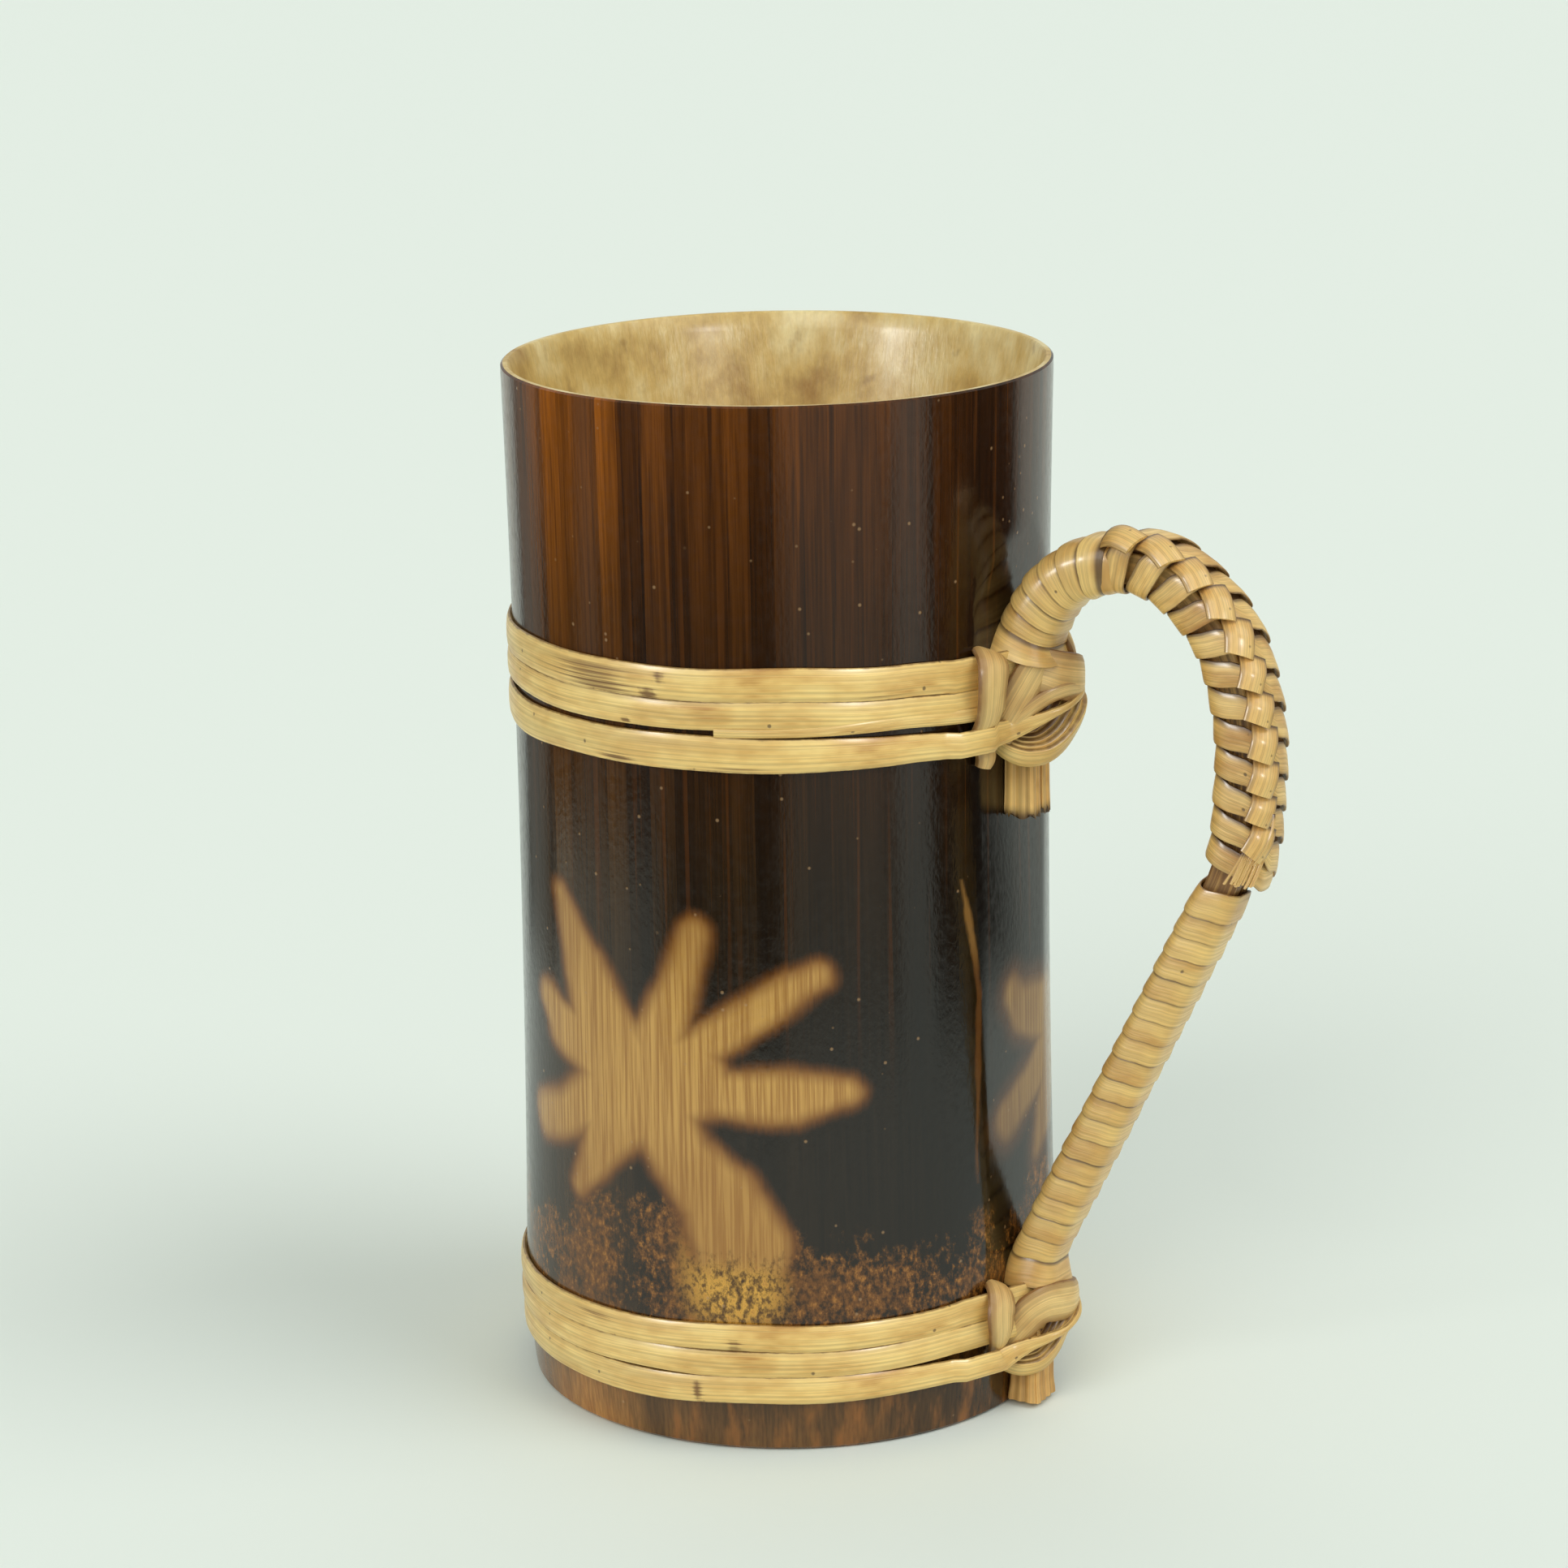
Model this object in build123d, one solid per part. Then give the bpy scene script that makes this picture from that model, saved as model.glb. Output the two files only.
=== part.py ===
import math
import os

from build123d import *

# Bamboo mug, in millimetres: +Z up, origin at the centre of the base, handle on the +X side

# Culm: one length of bamboo, sawn under a node so that the node's septum is the floor
culm_height = 150.0
culm_radius = 39.0  # at the rim
waist_draw = 0.65  # how much narrower the waist is
waist_height = 80.0
belly_swell = 0.3  # how much wider the belly is
belly_height = 16.0
foot_draw = 0.7
wall = 4.8
lip = 1.3  # wall left at the rim, where the inside is pared away
lip_depth = 26.0
floor_thickness = 12.0
floor_round = 5.0

# Flat bud groove down the handle side of the culm, where both feet of the handle sit
flat_depth = 1.5
flat_rise = 6.0  # above the upper bend of the handle
flat_runout = 6.0  # rise in height for each millimetre that the flat comes out to the skin
cut_margin = 1.0  # reach of the cut past the skin and the base

# Hoops: one rattan strip each, wound round the culm and over the foot of the handle
hoop_thickness = 0.7
hoop_clearance = 0.25
hoop_turns = 3
upper_hoop_drop = 36.3  # top of the upper hoop below the rim
upper_strip_width = 4.1
upper_strip_gap = 0.5
lower_hoop_top = 19.2
lower_strip_width = 3.5
lower_strip_gap = 0.5
lower_last_gap = 1.1  # wider gap above the last turn, where the keeper goes behind it
nose_flatness = 2.65  # bend of a strip over a foot, for each half width of the foot
climb_from = 265.0  # degrees round from the foot where a turn steps down to the next
climb_to = 325.0

# Tucked end of the upper hoop's strip, in the gap above the last turn
tuck_width = 0.7
tuck_start = 73.0  # degrees from the handle
tuck_end = 32.0

# Lashings at each foot: a keeper up the hoop and a tie across the foot
lash_thickness = 0.6
lash_width = 4.1
lash_clearance = 0.3
keeper_along = 0.55  # share of the straight run between foot and culm
upper_keeper_stub = 3.4  # cut end standing out under the hoop
lower_keeper_stub = 0.2
tie_reach = 6.4  # how far a tie runs to each side of the foot's middle
tie_rise_run = 8.0  # run in which a tie climbs across the foot
second_tie_width = 1.7
second_tie_shift = 6.0  # start of the second tie, on from the start of the first
second_tie_tuck = 2.0  # its start below the gap above the last turn

# Handle: two split canes side by side, bent into a loop
cane_width = 2.9
cane_thickness = 4.4
cane_gap = 0.2
cane_round = 1.2
cane_seat = 0.25
upper_tail = 25.7  # foot below the top of the upper hoop
lower_tail_end = 0.8
bend_margin = 0.3  # upper bend above the top of the upper hoop
lower_bend_rise = 1.5  # lower bend above the top of the lower hoop

# Corners of the loop: out from the upper foot, and up or down from the upper bend
shoulder_out = 6.7
shoulder_rise = 10.2
crown_out = 20.2
crown_rise = 12.1
temple_out = 30.2
temple_rise = 2.9
grip_out = 33.6
grip_drop = 10.0
elbow_out = 32.6
elbow_drop = 28.3
bend_radii = (18.0, 13.0, 13.5, 17.0, 40.0, 27.0, 20.0)
bend_share = 0.45  # most of a straight run that one bend may take up

# Wraps on the handle, from the upper foot down: plain, braided grip, plain
strip_thickness = 0.55
wrap_clearance = 0.32
wrap_gap = 0.7
upper_wrap_rise = 1.3  # clear of the upper hoop, along the handle
lower_wrap_rise = 1.0
upper_wrap_pitch = 2.05
upper_wrap_turns = 7
braid_pitch = 4.15
braid_turns = 12
lower_wrap_pitch = 3.5
splint_thickness = 1.8
splint_width = 4.8
splint_round = 0.7
rider_width = 3.9
rider_lift = 0.7  # rise of each square over the next turn's edge
rider_square = (0.56, 1.44)  # where a square starts and ends, in shares of a turn

# Straight facets of a strip: round the culm, over a foot, and along a tie
arc_steps = 36
nose_steps = 6
tie_steps = 14

waist_radius = culm_radius - waist_draw
belly_radius = culm_radius + belly_swell
foot_radius = culm_radius - foot_draw
upper_hoop_top = culm_height - upper_hoop_drop
upper_last_gap = tuck_width + 2 * lash_clearance


def circle_centre(a, b, c):
    d = 2 * (a[0] * (b[1] - c[1]) + b[0] * (c[1] - a[1]) + c[0] * (a[1] - b[1]))
    aa, bb, cc = (p[0] ** 2 + p[1] ** 2 for p in (a, b, c))
    x = (aa * (b[1] - c[1]) + bb * (c[1] - a[1]) + cc * (a[1] - b[1])) / d
    y = (aa * (c[0] - b[0]) + bb * (a[0] - c[0]) + cc * (b[0] - a[0])) / d
    return x, y


belly_point = (belly_radius, belly_height)
waist_point = (waist_radius, waist_height)
rim_point = (culm_radius, culm_height)
wall_centre = circle_centre(belly_point, waist_point, rim_point)
wall_curve = math.dist(wall_centre, waist_point)


# Outer radius of the culm at a height, on the arc through belly, waist and rim
def skin_radius(height):
    side = math.copysign(1.0, waist_radius - wall_centre[0])
    return wall_centre[0] + side * math.sqrt(wall_curve**2 - (height - wall_centre[1]) ** 2)


# Middle heights of a hoop's turns, from the top one down
def turn_heights(top, width, gap, last_gap):
    heights = [top - width / 2 - (width + gap) * turn for turn in range(hoop_turns)]
    heights[-1] -= last_gap - gap
    return heights


upper_levels = turn_heights(upper_hoop_top, upper_strip_width, upper_strip_gap, upper_last_gap)
lower_levels = turn_heights(lower_hoop_top, lower_strip_width, lower_strip_gap, lower_last_gap)


# The flat's distance from the axis under a foot, and the middle of the foot seated on it
def seat(levels):
    return min(skin_radius(height) for height in levels) - flat_depth


upper_flat = seat(upper_levels)
lower_flat = seat(lower_levels)
upper_tail_x = upper_flat + cane_seat + cane_thickness / 2
lower_tail_x = lower_flat + cane_seat + cane_thickness / 2
upper_bend = upper_hoop_top + bend_margin
lower_bend = lower_hoop_top + lower_bend_rise
core_half_width = cane_width + cane_gap / 2
nose_radius = nose_flatness * core_half_width


def culm_cup():
    arc = ThreePointArc(belly_point, waist_point, rim_point)
    foot = TangentArc(belly_point, (foot_radius, 0), tangent=-(arc % 0))
    bore = waist_radius - wall
    inside = FilletPolyline(
        (culm_radius - lip, culm_height),
        (bore, culm_height - lip_depth),
        (bore, floor_thickness),
        (0, floor_thickness),
        radius=(lip_depth, floor_round),
    )
    closing = [Line((foot_radius, 0), (0, 0)), Line((0, 0), (0, floor_thickness))]
    lip_line = Line(rim_point, (culm_radius - lip, culm_height))
    outline = make_face([arc, foot, inside, lip_line] + closing)
    cup = revolve(Plane.XZ * outline, Axis.Z)
    return cup - bud_flat()


def bud_flat():
    outside = belly_radius + cut_margin
    side = Polyline(
        (lower_flat, -cut_margin),
        (lower_flat, lower_bend),
        (upper_flat, upper_hoop_top - upper_tail),
        (upper_flat, upper_bend + flat_rise),
        (outside, upper_bend + flat_rise + flat_runout * (outside - upper_flat)),
        (outside, -cut_margin),
        close=True,
    )
    return extrude(Plane.XZ * make_face(side), outside, both=True)


# Line of the handle's middle, from the end of the upper foot round the loop to the lower one
def handle_line():
    points = [
        (upper_tail_x, upper_hoop_top - upper_tail),
        (upper_tail_x, upper_bend),
        (upper_tail_x + shoulder_out, upper_bend + shoulder_rise),
        (upper_tail_x + crown_out, upper_bend + crown_rise),
        (upper_tail_x + temple_out, upper_bend + temple_rise),
        (upper_tail_x + grip_out, upper_bend - grip_drop),
        (upper_tail_x + elbow_out, upper_bend - elbow_drop),
        (lower_tail_x, lower_bend),
        (lower_tail_x, lower_tail_end),
    ]
    radii = []
    for before, corner, after, radius in zip(points, points[1:], points[2:], bend_radii):
        run_in = Vector(corner) - Vector(before)
        run_out = Vector(after) - Vector(corner)
        half_turn = math.radians(run_in.get_angle(run_out)) / 2
        room = bend_share * min(run_in.length, run_out.length) / math.tan(half_turn)
        radii.append(min(radius, room))
    print("handle bends:", [round(radius, 1) for radius in radii])
    return Plane.XZ * FilletPolyline(*points, radius=radii)


loop = handle_line()


# Point beside the handle's line: along it, out from the loop, and across towards +Y
def beside(along, out, across):
    place = loop.position_at(along, position_mode=PositionMode.LENGTH)
    return place + outward(along) * out + Vector(0, across, 0)


def outward(along):
    run = loop.tangent_at(along, position_mode=PositionMode.LENGTH)
    return Vector(-run.Z, 0, run.X)


# Bar of rectangular section along a stretch of the handle's line
def handle_bar(start, end, out, across, thickness, width, rounding):
    stretch = loop.trim(start / loop.length, end / loop.length)
    section = Plane(beside(start, out, across), x_dir=(0, 1, 0), z_dir=loop.tangent_at(start / loop.length))
    return sweep(section * RectangleRounded(width, thickness, rounding), path=stretch)


# Corners of a strip's section between two edges
def strip_section(first, second, normal, thickness):
    half = normal * (thickness / 2)
    return [first - half, first + half, second + half, second - half]


def strip_solid(sections):
    return loft([make_face(Polyline(*corners, close=True)) for corners in sections], ruled=True, clean=False)


# Least distance between corners of a winding that lie half a turn to two turns apart
def least_gap(name, sections, per_turn):
    rings = [[tuple(corner) for corner in corners] for corners in sections]
    gap = math.inf
    for place, ring in enumerate(rings):
        for other in rings[place + per_turn // 2 : place + 2 * per_turn]:
            gap = min(gap, min(math.dist(a, b) for a in ring for b in other))
    print(f"{name}: least gap between turns {gap:.2f} mm")


# Twelve places round a rounded girth: out, across and the normal there
def girth(inner, outer, half_width, rounding, offset):
    places = []
    for corner in range(4):
        out = (outer - rounding) if corner in (0, 3) else (inner + rounding)
        across = (half_width - rounding) * (1 if corner < 2 else -1)
        for step in range(3):
            angle = math.radians(90 * corner + 45 * step)
            reach = rounding + offset
            places.append((out + reach * math.cos(angle), across + reach * math.sin(angle), angle))
    return places


# Strip wound round the handle from a place along it; outer is the far face of what it binds
def wrap_strip(name, start, pitch, turns, outer):
    width = pitch - wrap_gap
    offset = wrap_clearance + strip_thickness / 2
    places = girth(-cane_thickness / 2, outer, core_half_width, cane_round, offset)
    sections = []
    for step in range(turns * len(places) + 1):
        out, across, angle = places[step % len(places)]
        along = start + width / 2 + pitch * step / len(places)
        normal = outward(along) * math.cos(angle) + Vector(0, math.sin(angle), 0)
        low = beside(along - width / 2, out, across)
        high = beside(along + width / 2, out, across)
        sections.append(strip_section(low, high, normal, strip_thickness))
    least_gap(name, sections, len(places))
    return strip_solid(sections)


upper_wrap_start = upper_tail + upper_wrap_rise
braid_start = upper_wrap_start + upper_wrap_pitch * (upper_wrap_turns + 1)
lower_wrap_start = braid_start + braid_pitch * (braid_turns + 1)
lower_wrap_end = loop.length - (lower_hoop_top - lower_tail_end) - lower_wrap_rise
lower_wrap_turns = int((lower_wrap_end - lower_wrap_start) / lower_wrap_pitch) - 1
core_face = cane_thickness / 2
grip_face = core_face + cane_gap + splint_thickness


def upper_handle_wrap():
    return wrap_strip("upper wrap", upper_wrap_start, upper_wrap_pitch, upper_wrap_turns, core_face)


def braid_wrap():
    return wrap_strip("braid wrap", braid_start, braid_pitch, braid_turns, grip_face)


def lower_handle_wrap():
    return wrap_strip("lower wrap", lower_wrap_start, lower_wrap_pitch, lower_wrap_turns, core_face)


# Lengthwise strip on the outer front corner of the braid, one lapped square to each turn
def braid_rider():
    reach = cane_round + wrap_clearance + strip_thickness + lash_clearance + strip_thickness / 2
    sections = []
    for turn in range(braid_turns):
        for place, lift in zip(rider_square, (0.0, rider_lift)):
            along = braid_start + braid_pitch * (turn + place)
            normal = (outward(along) - Vector(0, 1, 0)).normalized()
            side = (outward(along) + Vector(0, 1, 0)).normalized() * (rider_width / 2)
            middle = beside(along, grip_face - cane_round, cane_round - core_half_width)
            middle = middle + normal * (reach + lift)
            sections.append(strip_section(middle - side, middle + side, normal, strip_thickness))
    return strip_solid(sections)


# Belt round the culm and the nose over a foot: the nose's middle and the angle where the run leaves
class Belt:
    def __init__(self, heights, thickness, stand_off):
        self.culm = max(skin_radius(height) for height in heights) + hoop_clearance + hoop_thickness / 2
        self.middle = seat(heights) + cane_seat + cane_thickness + hoop_clearance - nose_radius
        self.nose = nose_radius + thickness / 2 + stand_off
        self.leave = math.acos((self.culm - self.nose) / self.middle)

    def on_culm(self, angle):
        return Vector(self.culm * math.cos(angle), self.culm * math.sin(angle), 0)

    def on_nose(self, angle):
        return Vector(self.middle + self.nose * math.cos(angle), self.nose * math.sin(angle), 0)


def plan_normal(angle):
    return Vector(math.cos(angle), math.sin(angle), 0)


# Stand-off of what lies over the first turns: the tie, then the last turn over the tie
tie_stand_off = hoop_thickness + lash_clearance
last_stand_off = tie_stand_off + lash_thickness + lash_clearance


def eased(share):
    share = min(max(share, 0.0), 1.0)
    return share * share * (3 - 2 * share)


# Hoop: it starts beside the foot, and each turn steps down behind the handle and crosses the foot
def hoop(name, levels, width):
    inner = Belt(levels, hoop_thickness, 0)
    last = Belt(levels, hoop_thickness, last_stand_off)
    sections = []

    def add(point, angle, height):
        foot = point + Vector(0, 0, height - width / 2)
        sections.append(strip_section(foot, foot + Vector(0, 0, width), plan_normal(angle), hoop_thickness))

    for turn, level in enumerate(levels):
        coming = last if turn == len(levels) - 1 else inner
        going = last if turn == len(levels) - 2 else inner
        below = levels[min(turn + 1, len(levels) - 1)]
        first_step = nose_steps if turn == 0 else 0
        for step in range(first_step, nose_steps + 1):
            angle = coming.leave * (1 - 2 * step / nose_steps)
            add(coming.on_nose(angle), angle, level)
        sweep_angle = 2 * math.pi - coming.leave - going.leave
        for step in range(arc_steps + 1):
            angle = coming.leave + sweep_angle * step / arc_steps
            share = eased((math.degrees(angle) - climb_from) / (climb_to - climb_from))
            add(going.on_culm(-angle), -angle, level + (below - level) * share)
    add(inner.on_nose(inner.leave), inner.leave, levels[-1])
    least_gap(name, sections, arc_steps)
    return strip_solid(sections)


# Short end of the upper strip, lying on the culm between the last two turns
def upper_hoop_tuck_end():
    belt = Belt(upper_levels, hoop_thickness, 0)
    height = upper_levels[-1] + (upper_strip_width + upper_last_gap) / 2
    sections = []
    for step in range(nose_steps + 1):
        angle = -math.radians(tuck_start + (tuck_end - tuck_start) * step / nose_steps)
        foot = belt.on_culm(angle) + Vector(0, 0, height - tuck_width / 2)
        top = foot + Vector(0, 0, tuck_width)
        sections.append(strip_section(foot, top, plan_normal(angle), hoop_thickness))
    return strip_solid(sections)


# Keeper: over the top of the hoop, down its face, and behind the last turn to a cut end
def keeper(levels, width, stub):
    belt = Belt(levels, hoop_thickness, 0)
    near = belt.on_nose(-belt.leave)
    place = near + (belt.on_culm(-belt.leave) - near) * keeper_along
    face = hoop_thickness / 2 + lash_clearance + lash_thickness / 2
    behind = -hoop_thickness / 2
    top = levels[0] + width / 2 + lash_clearance + lash_thickness / 2
    gap_top = levels[-2] - width / 2
    gap_bottom = levels[-1] + width / 2
    line = FilletPolyline(
        (behind, top),
        (face, top),
        (face, gap_top),
        (behind, gap_bottom - lash_thickness / 2),
        (behind, levels[-1] - width / 2 - stub),
        radius=lash_thickness,
    )
    upright = Plane(place, x_dir=plan_normal(-belt.leave), z_dir=plan_normal(-belt.leave - math.pi / 2))
    path = upright * line
    section = Plane(path @ 0, x_dir=upright.z_dir, z_dir=path % 0)
    return sweep(section * Rectangle(lash_width, lash_thickness), path=path)


# Tie: from the last turn up across the foot and round to its far side
def cross_tie(levels, low, high, strip, shift):
    belt = Belt(levels, lash_thickness, tie_stand_off)
    side = belt.on_culm(belt.leave) - belt.on_nose(belt.leave)
    half_nose = belt.nose * belt.leave
    sections = []
    for step in range(tie_steps + 1):
        reach = shift - tie_reach + (2 * tie_reach - shift) * step / tie_steps
        angle = belt.leave * max(-1.0, min(1.0, reach / half_nose))
        point = belt.on_nose(angle)
        if abs(reach) > half_nose:
            run = Vector(side.X, math.copysign(side.Y, reach), 0).normalized()
            point = point + run * (abs(reach) - half_nose)
        share = min(1.0, (reach - shift + tie_reach) / tie_rise_run)
        slope = (high - low) * 6 * share * (1 - share) / tie_rise_run
        along = Vector(-math.sin(angle), math.cos(angle), 0)
        across = (Vector(0, 0, 1) - along * slope).normalized() * (strip / 2)
        point = point + Vector(0, 0, low + (high - low) * eased(share))
        sections.append(strip_section(point - across, point + across, plan_normal(angle), lash_thickness))
    return strip_solid(sections)


def first_tie(levels, width):
    return cross_tie(levels, levels[-2] - width / 2, levels[0] + (width - lash_width) / 2, lash_width, 0)


# Narrow second pass under the first tie, from behind the last turn
def upper_second_tie():
    low = upper_levels[-2] - upper_strip_width / 2 - second_tie_tuck
    spacing = (lash_width + second_tie_width) / 2 + lash_clearance
    high = upper_levels[0] + (upper_strip_width - lash_width) / 2 - spacing
    return cross_tie(upper_levels, low, high, second_tie_width, second_tie_shift)


def handle_cane(side):
    across = side * (cane_width + cane_gap) / 2
    return handle_bar(0, loop.length, 0, across, cane_thickness, cane_width, cane_round)


def grip_splint():
    start = braid_start + wrap_gap
    end = lower_wrap_start - 2 * wrap_gap
    out = core_face + cane_gap + splint_thickness / 2
    return handle_bar(start, end, out, 0, splint_thickness, splint_width, splint_round)


os.makedirs("parts", exist_ok=True)
pieces = {
    "culm_cup": culm_cup(),
    "handle_cane_near": handle_cane(-1),
    "handle_cane_far": handle_cane(1),
    "grip_splint": grip_splint(),
    "upper_handle_wrap": upper_handle_wrap(),
    "braid_wrap": braid_wrap(),
    "braid_rider": braid_rider(),
    "lower_handle_wrap": lower_handle_wrap(),
    "upper_hoop": hoop("upper hoop", upper_levels, upper_strip_width),
    "upper_hoop_tuck_end": upper_hoop_tuck_end(),
    "upper_keeper": keeper(upper_levels, upper_strip_width, upper_keeper_stub),
    "upper_cross_tie": first_tie(upper_levels, upper_strip_width),
    "upper_second_tie": upper_second_tie(),
    "lower_hoop": hoop("lower hoop", lower_levels, lower_strip_width),
    "lower_keeper": keeper(lower_levels, lower_strip_width, lower_keeper_stub),
    "lower_cross_tie": first_tie(lower_levels, lower_strip_width),
}
for name, piece in pieces.items():
    export_step(piece, f"parts/{name}.step")
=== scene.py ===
import math
import random
from bisect import bisect

import bpy
from mathutils import Matrix, Vector


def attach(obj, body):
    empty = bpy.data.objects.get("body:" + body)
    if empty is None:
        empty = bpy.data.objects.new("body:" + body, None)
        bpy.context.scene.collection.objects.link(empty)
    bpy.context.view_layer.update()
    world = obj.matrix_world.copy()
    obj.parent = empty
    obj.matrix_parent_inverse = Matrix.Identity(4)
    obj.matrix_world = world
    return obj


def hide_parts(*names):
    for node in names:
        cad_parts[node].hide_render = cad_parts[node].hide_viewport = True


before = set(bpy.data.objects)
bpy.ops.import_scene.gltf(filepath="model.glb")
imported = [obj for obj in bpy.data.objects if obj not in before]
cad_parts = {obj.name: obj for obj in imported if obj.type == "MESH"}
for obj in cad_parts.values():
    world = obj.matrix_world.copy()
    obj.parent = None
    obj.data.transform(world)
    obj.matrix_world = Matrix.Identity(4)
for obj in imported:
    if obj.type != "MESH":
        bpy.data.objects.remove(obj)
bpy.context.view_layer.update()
mm = 0.001  # pieces are worked out in millimetres and placed in metres
upright = Vector((0, 0, 1))
sideways = Vector((0, 1, 0))
fullTurn = 2 * math.pi

# Sections of a strip, once round: across from -1 to 1, height from 0 to 1
peelSection = [(-1, 0.28), (-0.96, 0.62), (-0.72, 0.86), (-0.3, 0.98), (0.3, 0.98), (0.72, 0.86),
               (0.96, 0.62), (1, 0.28), (0.9, 0), (0, 0), (-0.9, 0)]
wrapSection = [(-1, 0.4), (-0.97, 0.74), (-0.84, 0.9), (-0.4, 1), (0.4, 1), (0.84, 0.9), (0.97, 0.74),
               (1, 0.4), (0.9, 0), (0, 0), (-0.9, 0)]
flatSection = [(-1, 0.2), (-1, 0.8), (-0.94, 1), (0, 1), (0.94, 1), (1, 0.8), (1, 0.2), (0.94, 0), (0, 0),
               (-0.94, 0)]
fibreSection = [(-1, 0.5), (-0.3, 1), (0.7, 0.9), (0.9, 0.2), (-0.1, 0)]
stripCrease = math.radians(42)
edgeKeep = 0.12  # UV share kept clear of the dark edges on a piece that shows all its sides


def layStrip(name, steps, section, place, wholeRound=False):
    bpy.ops.object.select_all(action="DESELECT")
    bpy.ops.mesh.primitive_grid_add(x_subdivisions=steps, y_subdivisions=len(section), size=2)
    strip = bpy.context.object
    strip.name = name
    mesh = strip.data
    reach = [0.0]
    for step in range(steps):
        reach.append(reach[-1] + (place(step + 1, 0, 1) - place(step, 0, 1)).length)
    spots = []
    for vertex in mesh.vertices:
        step = round((vertex.co.x + 1) / 2 * steps)  # grid x runs along the strip
        corner = round((vertex.co.y + 1) / 2 * len(section))
        across, height = section[corner % len(section)]
        vertex.co = place(step, across, height) * mm
        share = (across + 1) / 2
        if wholeRound:
            share = edgeKeep + (1 - 2 * edgeKeep) * abs(2 * corner / len(section) - 1)
        spots.append((reach[step] / 10, share))  # UV: centimetres along, share across
    for loop in mesh.loops:
        mesh.uv_layers.active.data[loop.index].uv = spots[loop.vertex_index]
    bpy.ops.object.mode_set(mode="EDIT")
    bpy.ops.mesh.select_all(action="SELECT")
    bpy.ops.mesh.remove_doubles(threshold=1e-7)
    bpy.ops.mesh.fill_holes(sides=0)
    bpy.ops.mesh.normals_make_consistent(inside=False)
    bpy.ops.object.mode_set(mode="OBJECT")
    bpy.ops.object.shade_smooth_by_angle(angle=stripCrease)
    return strip


def joinInto(piece, extras):
    bpy.ops.object.select_all(action="DESELECT")
    for part in [piece, *extras]:
        part.select_set(True)
    bpy.context.view_layer.objects.active = piece
    bpy.ops.object.join()
    return piece


# Smooth run through a few points
def smoothRun(points, count):
    ends = [points[0] * 2 - points[1], *points, points[-1] * 2 - points[-2]]
    run = []
    for sample in range(count + 1):
        share = sample / count * (len(points) - 1)
        first = min(int(share), len(points) - 2)
        t = share - first
        a, b, c, d = ends[first:first + 4]
        run.append(((b * 2) + (c - a) * t + (a * 2 - b * 5 + c * 4 - d) * t**2
                    + (b * 3 - a - c * 3 + d) * t**3) / 2)
    return run


def stepThrough(table, value):  # eased steps from one row of the table to the next
    for (low, first), (high, second) in zip(table, table[1:]):
        if value <= high:
            share = min(max((value - low) / (high - low), 0), 1)
            return first + (second - first) * share * share * (3 - 2 * share)
    return table[-1][1]


def onWay(values, turn):  # straight steps between one value a turn
    last = int(turn)
    return values[last] + (values[last + 1] - values[last]) * (turn - last)


def wearSlot(piece, node, material):
    piece.data.materials.clear()
    piece.data.materials.append(material)
    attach(piece, "root")
    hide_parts(node)


# Node helpers: they draw in the tree that was opened last
openTree = None


def paint(red, green, blue):
    return tuple(((c / 255 + 0.055) / 1.055) ** 2.4 for c in (red, green, blue)) + (1.0,)


def plug(socket, value):
    if isinstance(value, bpy.types.NodeSocket):
        openTree.links.new(value, socket)
    else:
        socket.default_value = value


def addNode(kind, inputs, **settings):
    made = openTree.nodes.new("ShaderNode" + kind)
    for key, value in settings.items():
        setattr(made, key, value)
    for label, value in inputs.items():
        plug(made.inputs[label], value)
    return made.outputs


def calc(operation, *values, clamp=False):
    return addNode("Math", dict(enumerate(values)), operation=operation, use_clamp=clamp)[0]


def times(first, *others):
    for other in others:
        first = calc("MULTIPLY", first, other)
    return first


def plus(first, second):
    return calc("ADD", first, second)


def minus(first, second):
    return calc("SUBTRACT", first, second)


def timesPlus(first, second, third):
    return calc("MULTIPLY_ADD", first, second, third)


def vectorCalc(operation, *values, output=0):
    return addNode("VectorMath", dict(enumerate(values)), operation=operation)[output]


def flatPoint(x, y, z=0.0):
    return addNode("CombineXYZ", {0: x, 1: y, 2: z})[0]


def between(value, low, high, to=(0.0, 1.0)):  # smooth step from low to high
    inputs = {"Value": value, "From Min": low, "From Max": high, "To Min": to[0], "To Max": to[1]}
    return addNode("MapRange", inputs, interpolation_type="SMOOTHSTEP")[0]


def mixed(share, first, second, blend="MIX"):
    first, second = (paint(*c) if isinstance(c, tuple) else c for c in (first, second))
    return addNode("Mix", {0: share, 6: first, 7: second}, data_type="RGBA", blend_type=blend)[2]


def tinted(colour, lightness):
    grey = addNode("CombineColor", {0: lightness, 1: lightness, 2: lightness})[0]
    return mixed(1.0, colour, grey, "MULTIPLY")


def colourSteps(value, stops):
    made = openTree.nodes.new("ShaderNodeValToRGB")
    plug(made.inputs["Fac"], value)
    while len(made.color_ramp.elements) < len(stops):
        made.color_ramp.elements.new(0.5)
    for element, (place, colour) in zip(made.color_ramp.elements, stops):
        element.position = place
        element.color = paint(*colour)
    return made.outputs[0]


def noise(vector, scale, detail=3.0, rough=0.55, output=0):
    inputs = {"Vector": vector, "Scale": scale, "Detail": detail, "Roughness": rough}
    return addNode("TexNoise", inputs)[output]


def streaks(spot, squash, scale, detail=3.0, rough=0.55):  # noise drawn out upwards
    return noise(vectorCalc("MULTIPLY", spot, (1.0, 1.0, squash)), scale, detail, rough)


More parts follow.
